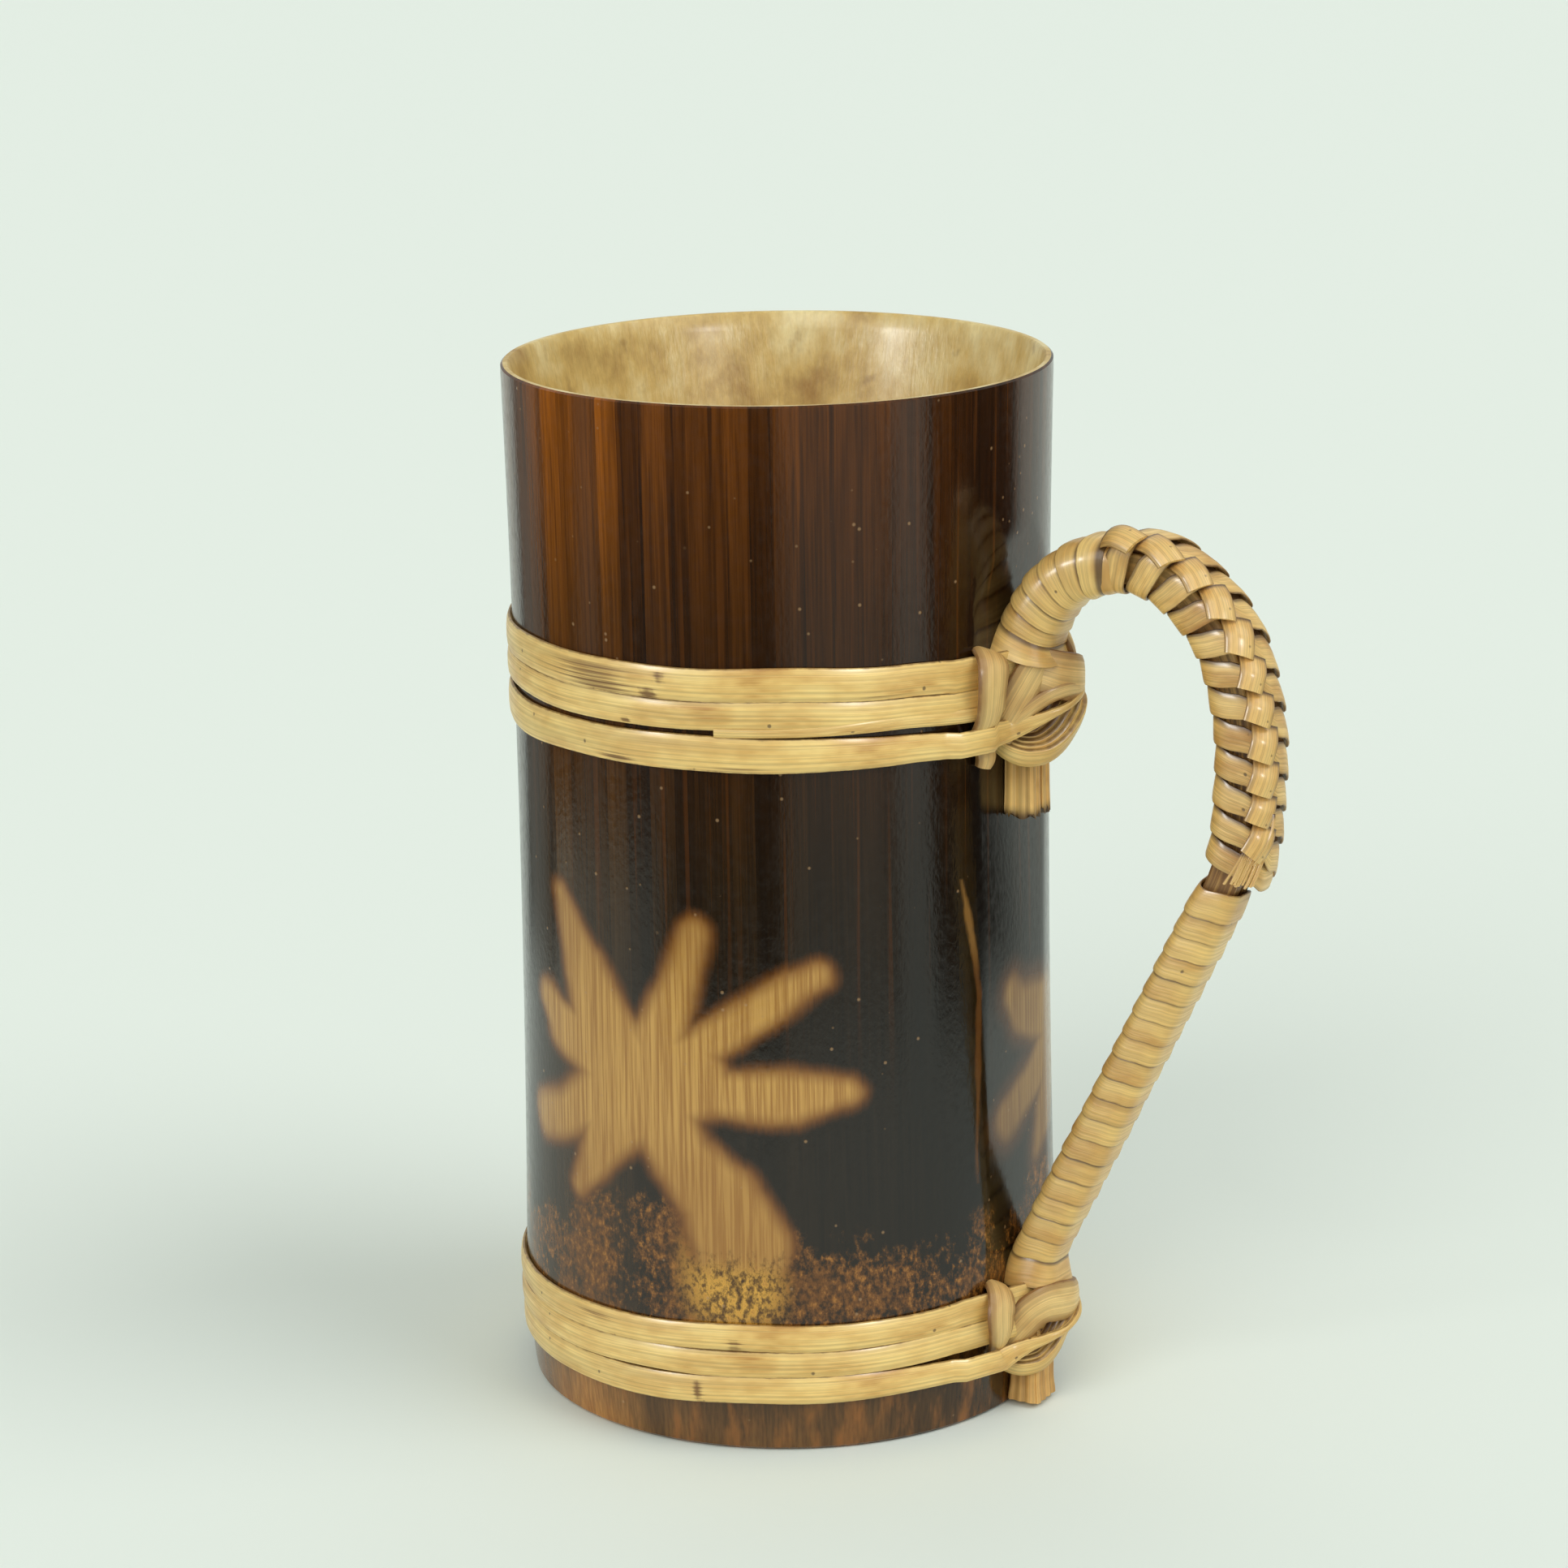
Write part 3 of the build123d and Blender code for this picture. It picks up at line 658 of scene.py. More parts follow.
def riderFray():  # the cut end below the last square
    made = []
    wander = random.Random(57)
    top = riderMiddle(braidRider["squares"] - 1) + riderEnd["below"]
    for number in range(riderEnd["fibres"]):
        start = (number / (riderEnd["fibres"] - 1) - 0.5) * riderEnd["span"] - riderEnd["shift"]
        sway = wander.uniform(-riderEnd["sway"], riderEnd["sway"])
        spread = start * riderEnd["fan"] - riderEnd["drift"] + sway
        length = riderEnd["length"] * wander.uniform(*riderEnd["lengthSpread"])
        lift = wander.uniform(*riderEnd["lifts"])
        width = wander.uniform(*riderEnd["widths"])

        def place(step, across, height):
            share = step / riderEnd["steps"]
            slide = start + (spread - start) * share + across * width / 2 + braidRider["slide"]
            stand = riderEnd["stand"] * (1 + lift * share**1.3) + height * riderEnd["thickness"]
            return onCorner(top + length * share, slide, stand)

        made.append(layStrip("riderFibre", riderEnd["steps"], fibreSection, place))

    def loose(step, across, height):  # one long fibre that lies across the last squares
        share = step / looseFibre["steps"]
        slide = looseFibre["from"] - looseFibre["drift"] * share**1.4 + across * looseFibre["half"]
        stand = looseFibre["stand"] + looseFibre["bow"] * math.sin(math.pi * share)
        along = top - looseFibre["above"] + looseFibre["length"] * share
        return onCorner(along, slide, stand + height * looseFibre["thickness"])

    made.append(layStrip("riderFibre", looseFibre["steps"], fibreSection, loose))
    return made


splintPiece = makeSplint()
riderSquares = [riderSquare(number) for number in range(braidRider["squares"])]
riderPiece = joinInto(riderSquares[0], riderSquares[1:] + riderFray())
riderPiece.name = "braidRider"
print("braid laid")

# Hoops: two turns lie under the keeper; the last one crosses the foot and lies over it
# Rows of a crossing, as of each ribbon below: x, y, z and width
upperHoop = {"levels": [111.7, 107.4, 102.05], "widths": [4.75, 4.1, 5.0], "thickness": 0.85, "nose": 7.8,
             "middle": 33.81, "seed": 31, "narrow": 0.74,
             "crossing": [(42.6, 7.2, 106.4, 1.2), (45.6, 3.6, 105.8, 1.2), (46.2, -0.9, 104.9, 0.9),
                          (44.6, -3.4, 103.9, 1.5), (42.4, -4.9, 102.8, 2.2), (40.0, -6.4, 101.8, 3.1),
                          (38.9, -8.9, 101.6, 3.6)],
             "slopes": [(-140, 0.0), (-90, 0.0), (-60, 0.0), (-35, -0.45), (-20, -0.9)]}
lowerHoop = {"levels": [17.45, 13.6, 9.55], "widths": [4.0, 3.9, 4.2], "thickness": 0.85, "nose": 7.8,
             "middle": 34.75, "seed": 47, "narrow": 0.84,
             "crossing": [(43.2, 6.8, 14.2, 1.2), (45.8, 2.6, 13.4, 1.2), (46.2, -1.6, 12.5, 0.8),
                          (44.6, -4.0, 11.6, 1.5), (42.4, -5.4, 10.6, 2.1), (40.6, -7.0, 9.6, 2.8),
                          (39.7, -9.2, 9.0, 3.3)],
             "slopes": [(-150, -1.4), (-110, -0.8), (-64, 0.0), (-35, 0.0), (-20, 0.1)]}
hoopLay = {"clear": 0.05, "keeperLift": 1.6, "keeperAngle": -16, "keeperReach": 9, "wobble": 0.1,
           "fineWobble": 0.06, "widthWobble": 0.02, "noseSteps": 8, "runSteps": 10, "turnSteps": 260}
footMiddle = 36.5  # the lashings look away from here


def layStations(name, stations, thickness, section=peelSection):
    def place(step, across, height):
        point, face, side, half = stations[step]
        return point + side * (across * half) + face * (height * thickness)

    return layStrip(name, len(stations) - 1, section, place)


# Stations through hand-set rows; away gives the direction the outer face looks
def ribbonStations(rows, away, count, tilt=0.0):
    run = smoothRun([Vector(row) for row in rows], count)
    stations = []
    for step, sample in enumerate(run):
        ahead = (run[min(step + 1, count)].xyz - run[max(step - 1, 0)].xyz).normalized()
        face = away(sample.xyz)
        face = Matrix.Rotation(tilt, 3, ahead) @ (face - ahead * face.dot(ahead)).normalized()
        stations.append((sample.xyz, face, ahead.cross(face), sample.w / 2))
    return stations


def ribbon(name, rows, thickness, away, count=30, tilt=0.0, section=peelSection):
    return layStations(name, ribbonStations(rows, away, count, tilt), thickness, section)


def fromCulm(point):
    return Vector((point.x, point.y, 0)).normalized()


def overKeeper(middle, reach):  # outward, and up or down where the keeper folds back
    def away(point):
        return (fromCulm(point) + upright * ((point.z - middle) / reach)).normalized()

    return away


def fromFoot(point):
    return Vector((point.x - footMiddle, point.y, 0)).normalized()


def hoopTurn(hoop, turn):
    wander = random.Random(hoop["seed"] + turn)
    phases = [wander.uniform(0, 6.28) for _ in range(4)]
    level = hoop["levels"][turn]
    leave = math.acos((skinRadius(level) + hoopLay["clear"] - hoop["nose"]) / hoop["middle"])
    onSkin = fullTurn - 2 * leave
    noses, runs, turns = hoopLay["noseSteps"], hoopLay["runSteps"], hoopLay["turnSteps"]
    spots = [("nose", -leave * step / noses, -1) for step in range(noses + 1)]
    spots += [("run", step / runs, -1) for step in range(1, runs)]
    spots += [("culm", -(leave + onSkin * step / turns), -1) for step in range(turns + 1)]
    spots += [("run", 1 - step / runs, 1) for step in range(1, runs)]
    spots += [("nose", leave * (1 - step / noses), 1) for step in range(noses + 1)]
    stations = []
    for kind, spot, end in spots:
        angle = spot if kind != "run" else end * leave * 0.6
        degrees = math.degrees(angle) - (360 if end > 0 else 0)  # the far end of the turn
        lift = hoopLay["clear"]
        if turn == 2 and degrees > -60 and kind != "nose":  # over the keeper's foot
            fromKeeper = (degrees - hoopLay["keeperAngle"]) / hoopLay["keeperReach"]
            lift += hoopLay["keeperLift"] * math.exp(-fromKeeper ** 2)
        middle = level + stepThrough(hoop["slopes"], degrees)
        middle += hoopLay["wobble"] * math.sin(angle * 5 + phases[0])
        middle += hoopLay["fineWobble"] * math.sin(angle * 11 + phases[1])
        wide = hoop["widths"][turn] * (1 + hoopLay["widthWobble"] * math.sin(angle * 7 + phases[2]))
        if turn == 2:
            wide *= stepThrough([(-60, 1.0), (-22, hoop["narrow"])], degrees)
        bent = end * leave if kind == "run" else angle
        face = Vector((math.cos(bent), math.sin(bent), 0))
        onNose = Vector((hoop["middle"], 0, 0)) + face * hoop["nose"]
        onWall = face * (skinRadius(middle) + roundness(bent))
        point = {"nose": onNose, "culm": onWall, "run": onNose.lerp(onWall, spot)}[kind]
        stations.append((point + face * lift + upright * middle, face, upright, wide / 2))
    return stations


def partWay(first, second, share):
    return tuple(a + (b - a) * share for a, b in zip(first, second))


def makeHoop(name, hoop):
    firstTurn = hoopTurn(hoop, 0)[6:-9]
    secondTurn = hoopTurn(hoop, 1)
    stepDown = [partWay(firstTurn[-1], secondTurn[0], share) for share in (0.3, 0.6)]
    lastTurn = hoopTurn(hoop, 2)[13:]
    crossing = ribbonStations(hoop["crossing"], fromFoot, 36)
    upperPart = layStations(name, firstTurn + stepDown + secondTurn, hoop["thickness"])
    lastPart = layStations(name + "Last", crossing + lastTurn, hoop["thickness"])
    return joinInto(upperPart, [lastPart])


# Passes of the strip round the foot, one inside the other like bowls, open at the top
def footBowls(rows, spacing, rise, count=6):
    bowls = []
    for number in range(count):
        inward = []
        for x, y, z, width in rows:
            away = fromFoot(Vector((x, y, z)))
            spot = Vector((x, y, z + rise * number)) - away * (spacing * number)
            inward.append((*spot, width * (1 - 0.06 * number)))
        bowl = ribbon("footBowl", inward, 1.0, fromFoot, 40, 0.35, wrapSection)
        # each bowl's depth, read later for painted shade that darkens the inner bowls
        depths = bowl.data.attributes.new("depth", "FLOAT", "POINT")
        for vertex in bowl.data.vertices:
            depths.data[vertex.index].value = number / (count - 1)
        bowls.append(bowl)
    return bowls


upperHoopPiece = joinInto(makeHoop("upperHoop", upperHoop), footBowls(
    [(36.6, -5.8, 100.8, 2.2), (38.2, -5.6, 99.2, 2.4), (39.8, -5.3, 98.2, 2.6), (41.6, -4.5, 97.7, 2.8),
     (43.6, -2.8, 98.0, 2.8), (45.0, -0.8, 99.4, 2.8), (45.8, 1.2, 101.4, 2.8), (45.6, 3.4, 103.0, 2.8),
     (44.0, 5.8, 104.2, 2.6), (41.0, 7.4, 104.8, 2.2)], 0.75, 0.62))
lowerHoopPiece = joinInto(makeHoop("lowerHoop", lowerHoop), footBowls(
    [(37.8, -6.4, 8.4, 2.0), (39.0, -5.6, 7.0, 2.2), (41.0, -4.8, 6.6, 2.4), (43.0, -3.4, 7.3, 2.6),
     (44.3, -2.0, 9.2, 2.6), (44.9, -0.4, 11.4, 2.6), (45.0, 1.6, 12.8, 2.6), (44.0, 4.2, 13.6, 2.4),
     (41.4, 6.8, 14.0, 2.0)], 0.62, 0.55))
print("hoops wound")

# Tucked end of the upper strip, between the last two turns
tuckEnd = {"from": -74, "to": -18, "steps": 40, "thickness": 0.62, "lift": 0.35,
           "flatFrom": -24, "flatRise": 0.12,
           "heights": [(-74, 105.15), (-60, 105.2), (-36, 105.65), (-20, 105.0)],
           "widths": [(-74, 1.35), (-60, 1.3), (-36, 2.0), (-20, 2.0)]}


def makeTuck():
    stations = []
    for step in range(tuckEnd["steps"] + 1):
        degrees = tuckEnd["from"] + (tuckEnd["to"] - tuckEnd["from"]) * step / tuckEnd["steps"]
        angle = math.radians(degrees)
        middle = stepThrough(tuckEnd["heights"], degrees)
        wide = stepThrough(tuckEnd["widths"], degrees)
        face = Vector((math.cos(angle), math.sin(angle), 0))
        offFlat = max(0, degrees - tuckEnd["flatFrom"]) * tuckEnd["flatRise"]
        reach = skinRadius(middle) + roundness(angle) + tuckEnd["lift"] + offFlat
        stations.append((face * reach + upright * middle, face, upright, wide / 2))
    return layStations("upperHoopTuckEnd", stations, tuckEnd["thickness"])


tuckPiece = makeTuck()

upperKeeperPiece = joinInto(ribbon("upperKeeper", [
    (35.2, -7.8, 111.2, 4.4), (36.8, -8.8, 112.3, 4.8), (38.2, -9.8, 112.5, 5.0), (39.3, -10.8, 111.6, 5.2),
    (39.5, -11.3, 109.8, 5.3), (39.4, -11.5, 107.6, 5.2), (39.0, -11.3, 105.2, 4.9),
    (37.9, -10.9, 103.0, 4.5), (36.6, -10.5, 101.2, 4.0), (36.0, -10.2, 99.6, 3.6)],
    1.2, overKeeper(107.5, 5.0), 44), [
    ribbon("keeperStub", [(36.6, -9.4, 100.8, 3.8), (37.2, -9.6, 99.4, 3.9), (37.5, -9.8, 98.2, 3.7),
                          (37.2, -10.0, 97.1, 2.8)], 1.2, fromCulm, 16)])
lowerKeeperPiece = ribbon("lowerKeeper", [
    (36.2, -7.4, 18.4, 3.0), (37.8, -8.3, 19.4, 3.6), (39.2, -9.3, 19.2, 4.2), (40.0, -10.2, 17.9, 4.9),
    (40.1, -10.7, 16.2, 5.2), (40.0, -10.4, 14.2, 4.6), (39.4, -9.6, 12.4, 3.6), (38.4, -8.8, 10.8, 2.8)],
    1.15, overKeeper(15.6, 4.0), 40)
upperTiePiece = joinInto(ribbon("upperCrossTie", [
    (38.0, -6.0, 100.6, 4.2), (39.2, -6.0, 103.0, 4.7), (40.5, -5.7, 105.8, 5.0), (41.8, -5.0, 108.8, 5.2),
    (42.4, -3.9, 111.0, 5.2), (41.9, -3.0, 112.4, 4.8), (40.8, -2.2, 113.6, 4.0)], 1.4, fromFoot, 40), [
    ribbon("tieBack", [(41.4, -4.2, 110.4, 5.2), (43.2, -3.4, 110.0, 6.0), (44.7, -2.0, 109.2, 6.6),
                       (45.6, 0.0, 108.5, 6.8), (45.7, 2.2, 107.9, 6.6), (44.9, 4.4, 107.3, 6.0),
                       (42.6, 6.6, 106.7, 5.2), (39.8, 7.8, 106.4, 4.4)], 1.1, fromFoot, 44),
    ribbon("tieFar", [(42.0, 3.4, 114.4, 3.8), (42.8, 4.6, 112.0, 4.6), (42.8, 5.4, 109.0, 5.4),
                      (42.0, 6.0, 105.6, 5.6), (40.8, 6.2, 102.4, 5.2), (39.2, 6.2, 99.6, 4.2)],
           1.3, fromFoot, 36)])
secondTiePiece = ribbon("upperSecondTie", [
    (39.8, -6.0, 101.8, 2.0), (41.0, -5.6, 103.6, 2.3), (42.8, -4.6, 105.4, 2.4), (44.4, -3.1, 106.6, 2.4),
    (45.7, -1.2, 107.0, 2.2), (46.0, 1.2, 106.6, 1.8)], 1.0, fromFoot)
lowerTiePiece = joinInto(ribbon("lowerCrossTie", [
    (38.2, -6.0, 9.6, 4.2), (39.5, -6.0, 11.6, 4.9), (41.0, -5.7, 13.8, 5.4), (42.4, -4.9, 15.6, 5.8),
    (43.8, -3.4, 16.5, 6.0), (44.7, -1.2, 16.2, 6.0), (45.0, 1.6, 15.6, 5.6), (43.8, 4.8, 15.0, 4.8),
    (41.0, 7.0, 14.6, 4.0)], 1.25, fromFoot, 48), [
    ribbon("tieFar", [(41.8, 4.0, 19.6, 3.8), (42.4, 5.2, 17.2, 4.6), (42.0, 5.8, 14.4, 5.2),
                      (41.2, 6.0, 11.4, 5.0), (39.8, 6.0, 8.8, 4.0)], 1.2, fromFoot, 32)])
print("lashings tied")

# Stains on the strips: angle round the culm, height, reach round, reach up, strength
upperStains = [
    (-88, 110.1, 2.2, 0.8, 1.0), (-85.5, 112.6, 1.5, 0.9, 0.8), (-100, 110.4, 11.0, 0.9, 0.85),
    (-101, 112.8, 11.0, 0.6, 0.8), (-102, 111.4, 13.0, 2.0, 0.6), (-112, 107.2, 9.0, 0.7, 0.6),
    (-93.5, 106.0, 1.1, 0.6, 1.0), (-96, 100.2, 5.0, 0.5, 0.8), (-70, 100.0, 9.0, 0.4, 0.6),
    (-40, 109.9, 6.0, 0.5, 0.5), (60, 111.0, 3.0, 2.0, 0.8), (150, 102.0, 8.0, 0.6, 0.7),
    (110, 107.0, 2.0, 1.2, 0.8), (-160, 111.8, 6.0, 1.0, 0.7)]
lowerStains = [
    (-80, 9.0, 1.2, 1.6, 0.9), (-72, 16.6, 2.0, 1.0, 0.7), (-104, 17.0, 7.0, 0.6, 0.6),
    (-50, 13.6, 6.0, 0.5, 0.5), (40, 16.0, 3.0, 1.5, 0.7), (130, 10.0, 2.0, 1.6, 0.9),
    (-150, 13.0, 8.0, 0.6, 0.6)]
# Painted shade on the canes inside the grip, seen in the gaps between the wraps
caneGapShade = {"spots": [(0, 82.0, 20.0, 34.0, 0.75)], "cleanUnder": 48.0, "cleanOver": 20.0, "clean": 0.15}
bowlShade = 0.75  # painted shade: how dark the innermost bowl is made


def stainAndShadeStrip(piece, spots):
    marks = piece.data.attributes.new("stain", "FLOAT", "POINT")
    depths = piece.data.attributes.get("depth")
    for vertex in piece.data.vertices:
        x, y, z = vertex.co / mm
        degrees = math.degrees(math.atan2(y, x))
        # painted shade: the further in a foot bowl lies, the darker
        amount = bowlShade * depths.data[vertex.index].value if depths else 0.0
        for angle, height, reachRound, reachUp, strength in spots:
            away = ((degrees - angle) / reachRound) ** 2 + ((z - height) / reachUp) ** 2
            amount = max(amount, strength * math.exp(-away))
        marks.data[vertex.index].value = amount


for cane in (nearCane, farCane):
    stainAndShadeStrip(cane, caneGapShade["spots"])
    gapShadeMarks = cane.data.attributes["stain"].data
    for vertex in cane.data.vertices:  # painted shade: dark inside the grip, where it shows between the wraps, lighter at the feet
        if vertex.co.x < caneGapShade["cleanUnder"] * mm and vertex.co.z > caneGapShade["cleanOver"] * mm:
            gapShadeMarks[vertex.index].value *= caneGapShade["clean"]
stainAndShadeStrip(upperHoopPiece, upperStains)
stainAndShadeStrip(lowerHoopPiece, lowerStains)

dressing = {
    "split_cane": [(nearCane, "handle_cane_near", caneFibre), (farCane, "handle_cane_far", caneFibre),
                   (splintPiece, "grip_splint", splintFibre)],
    "rattan_strip": [
        (upperWrapPiece, "upper_handle_wrap", upperPeel), (braidWrapPiece, "braid_wrap", braidPeel),
        (riderPiece, "braid_rider", riderPeel), (lowerWrapPiece, "lower_handle_wrap", lowerPeel),
        (upperHoopPiece, "upper_hoop", hoopPeel), (tuckPiece, "upper_hoop_tuck_end", hoopPeel),
        (upperKeeperPiece, "upper_keeper", tiePeel), (upperTiePiece, "upper_cross_tie", tiePeel),
        (secondTiePiece, "upper_second_tie", tiePeel), (lowerHoopPiece, "lower_hoop", hoopPeel),
        (lowerKeeperPiece, "lower_keeper", tiePeel), (lowerTiePiece, "lower_cross_tie", tiePeel)],
}
for slot, pieces in dressing.items():
    for piece, node, material in pieces:
        wearSlot(piece, node, material)

# Culm finishes: stained and varnished skin with palms left pale, pared inside, sawn base
# Points of a blade, in millimetres from the crown: across, up and half width
palm = {"angle": -95.2, "height": 57.2, "count": 3, "skin": 38.5, "shift": 6.0, "foot": (15.3, -31.5),
        "blades": [[(-3.8, -0.2, 7.0), (-8.2, 10.4, 4.5), (-14.3, 21.0, 1.5)],
                   [(4.6, 3.3, 4.0), (7.7, 11.2, 2.5), (10.5, 19.1, 2.3)],
                   [(9.8, 2.0, 2.8), (19.7, 8.5, 3.0), (28.2, 13.3, 1.8)],
                   [(12.7, -4.3, 3.4), (24.2, -4.4, 3.7), (31.8, -4.1, 2.1)],
                   [(-6.5, -0.8, 5.0), (-14.4, 1.2, 4.0), (-17.8, 4.4, 2.5)],
                   [(-6.1, -7.3, 4.0), (-13.3, -11.2, 3.4), (-19.8, -13.7, 3.3)],
                   [(-2.2, -9.0, 6.0), (-6.8, -16.2, 3.7), (-10.0, -21.2, 1.7)],
                   [(-1.4, -3.8, 6.5), (8.7, -2.2, 6.5)],
                   [(4.3, -7.8, 5.0), (7.9, -14.4, 4.8), (13.9, -19.8, 5.5), (16.7, -26.8, 7.0)]]}
grooveScratch = [(50.3, 24.0, 0.25), (51.2, 19.5, 0.75), (52.4, 14.2, 0.55), (53.6, 6.4, 0.35),
                 (53.0, -8.6, 0.3), (52.9, -21.0, 0.2)]
stainRamp = [(0.0, (104, 70, 32)), (0.08, (66, 44, 20)), (0.14, (32, 22, 12)), (0.42, (30, 21, 11)),
             (0.55, (38, 24, 8)), (0.66, (48, 27, 6)), (0.8, (62, 33, 4)), (1.0, (90, 47, 5))]


def bladeRun(spot, line):  # strokes joined end to end
    gap = None
    for (x0, y0, half0), (x1, y1, half1) in zip(line, line[1:]):
        ends = {"Start": (x0, y0, 0.0), "End": (x1, y1, 0.0), "Start Width": half0, "End Width": half1}
        stroke = addNode("Group", {"Point": spot, **ends}, node_tree=strokeGroup)[0]
        gap = stroke if gap is None else calc("MINIMUM", gap, stroke)
    return gap


def culmSkin():
    material, shader = newMaterial("stainedCulm", Specular_IOR_Level=0.5)
    spot = addNode("TexCoord", {})["Object"]
    x, y, z = addNode("SeparateXYZ", {0: spot})
    angle = calc("ARCTAN2", y, x)
    height = times(z, 1000.0)
    girthway = times(angle, palm["skin"])
    fibre = streaks(spot, 0.016, 2400.0, 4.0, 0.6)
    lines = streaks(spot, 0.01, 900.0, 2.0, 0.5)
    bands = streaks(spot, 0.08, 95.0)
    staves = addNode("TexVoronoi", {"W": girthway, "Scale": 0.27}, voronoi_dimensions="1D")["Color"]
    stave = addNode("SeparateColor", {0: staves})[0]
    # stain from amber at the rim to near black
    stain = colourSteps(calc("DIVIDE", height, culm["height"]), stainRamp)
    upperPart = between(height, 45.0, 95.0)
    staveLight = timesPlus(minus(stave, 0.5), between(height, 30.0, 100.0, (0.3, 0.85)), 1.0)
    amber = between(calc("ABSOLUTE", plus(angle, 1.95)), 0.4, 0.05, (1.0, 3.4))
    lightness = times(staveLight, between(bands, 0.3, 0.7, (0.75, 1.25)))
    lightness = times(lightness, between(angle, -1.0, -0.5, (1.0, 0.5)))
    lightness = times(lightness, times(amber, between(fibre, 0.3, 0.7, (0.72, 1.3))))
    stain = tinted(stain, lightness)
    stain = mixed(times(between(lines, 0.58, 0.68, (0.0, 0.4)), upperPart), stain, (96, 52, 12))
    stain = mixed(times(between(lines, 0.4, 0.33, (0.0, 0.5)), upperPart), stain, (22, 12, 5))
    # palms: blades from one crown, the same three times round
    third = math.pi / palm["count"]
    turned = minus(angle, math.radians(palm["angle"]) + palm["shift"] / palm["skin"])
    around = timesPlus(calc("WRAP", turned, third, -third), palm["skin"], palm["shift"])
    above = minus(height, palm["height"])
    warp = noise(spot, 90.0, 2.0, 0.5, output=1)
    warp = vectorCalc("MULTIPLY_ADD", warp, (3.0, 3.0, 0.0), (-1.5, -1.5, 0.0))
    flatSpot = vectorCalc("ADD", flatPoint(around, above), warp)
    besideHandle = times(between(angle, -0.6, -0.5), between(angle, 1.3, 1.2))
    gap = None
    for number, line in enumerate(palm["blades"]):
        run = bladeRun(flatSpot, line)
        if number == 0:  # the palm beside the handle is a shorter one
            run = timesPlus(besideHandle, 20.0, run)
        gap = run if gap is None else calc("SMOOTH_MIN", gap, run, 1.0)
    gap = plus(gap, between(fibre, 0.25, 0.75, (-0.8, -0.4)))
    # ground: mottled scorch at the foot of the palms, brightest under each trunk
    speckle = streaks(spot, 0.7, 1100.0, 6.0, 0.7)
    clouds = streaks(spot, 0.8, 130.0)
    topLine = plus(between(around, -24.0, 0.0, (29.5, 36.0)), between(around, 2.0, 46.0, (0.0, -7.0)))
    topLine = timesPlus(clouds, 9.0, minus(topLine, 4.0))
    underTop = minus(topLine, height)
    squashed = vectorCalc("MULTIPLY", flatSpot, (1.0, 0.8, 0.0))
    trunkFoot = vectorCalc("DISTANCE", squashed, (palm["foot"][0], palm["foot"][1] * 0.8, 0.0), output=1)
    glow = between(timesPlus(speckle, 6.0, trunkFoot), 13.0, 6.5)
    mottle = plus(timesPlus(clouds, 1.0, speckle), times(glow, 0.35))
    mottle = plus(mottle, between(underTop, -2.0, 4.0, (-0.12, 0.08)))
    ground = calc("MULTIPLY", between(mottle, 0.9, 1.22), between(underTop, -2.5, 2.0), clamp=True)
    ground = times(ground, between(height, 9.0, 14.0), between(speckle, 0.4, 0.58, (0.4, 1.0)))
    scorch = mixed(times(glow, between(speckle, 0.3, 0.6)), (122, 76, 29), (230, 174, 73))
    scorch = mixed(between(speckle, 0.54, 0.7, (0.0, 0.8)), scorch, (184, 124, 52))
    stain = mixed(times(ground, 0.9), stain, scorch)
    footStreak = streaks(spot, 0.25, 330.0, 4.0, 0.6)
    footShare = times(between(footStreak, 0.45, 0.7), between(height, 10.0, 6.0))
    stain = mixed(times(footShare, 0.8), stain, (150, 94, 40))
    # bare skin of the figures, burnt towards their edges
    bare = mixed(between(fibre, 0.36, 0.64), (164, 116, 56), (202, 156, 84))
    bare = mixed(between(height, 62.0, 80.0, (0.0, 0.55)), bare, (156, 112, 58))
    bare = mixed(between(height, 50.0, 38.0, (0.0, 0.4)), bare, (150, 102, 46))
    burnt = mixed(between(gap, -2.4, 0.6), bare, (118, 70, 26))
    soft = times(gap, between(besideHandle, 0.0, 1.0, (1.0, 0.45)))
    figure = times(between(soft, 1.5, -0.9), between(besideHandle, 0.0, 1.0, (1.0, 0.66)))
    figure = times(figure, between(timesPlus(speckle, 10.0, height), 30.5, 35.0))
    coloured = mixed(figure, stain, burnt)
    # scratch down the edge of the flat, and dust in the varnish
    flatWay = flatPoint(minus(girthway, math.radians(palm["angle"]) * palm["skin"]), above)
    flatWay = vectorCalc("ADD", flatWay, vectorCalc("MULTIPLY", warp, (0.25, 0.0, 0.0)))
    scratch = timesPlus(footStreak, -2.2, bladeRun(flatWay, grooveScratch))
    scratchTone = mixed(between(height, 66.0, 73.0), (108, 66, 30), (156, 112, 58))
    coloured = mixed(between(scratch, -0.75, -1.5, (0.0, 0.68)), coloured, scratchTone)
    dust = addNode("TexVoronoi", {"Vector": spot, "Scale": 360.0})
    picked = addNode("SeparateColor", {0: dust["Color"]})[0]
    mote = times(between(dust["Distance"], 0.04, 0.12, (1.0, 0.0)), between(picked, 0.5, 0.56))
    plug(shader["Base Color"], mixed(times(mote, 0.55), coloured, (172, 136, 96)))
    plug(shader["Roughness"], between(noise(spot, 700.0, 3.0, 0.6), 0.3, 0.75, (0.11, 0.22)))
    pitted = between(streaks(spot, 0.6, 1500.0, 2.0, 0.5), 0.3, 0.7)
    relief = plus(times(pitted, 0.55), times(mote, 1.2))
    relief = plus(relief, timesPlus(fibre, 0.45, times(stave, 0.3)))
    onFlat = between(calc("ABSOLUTE", angle), 0.22, 0.42, (0.4, 1.0))  # smoother there
    bumpInto(shader, times(relief, onFlat), 0.16, 0.0001)
    return material


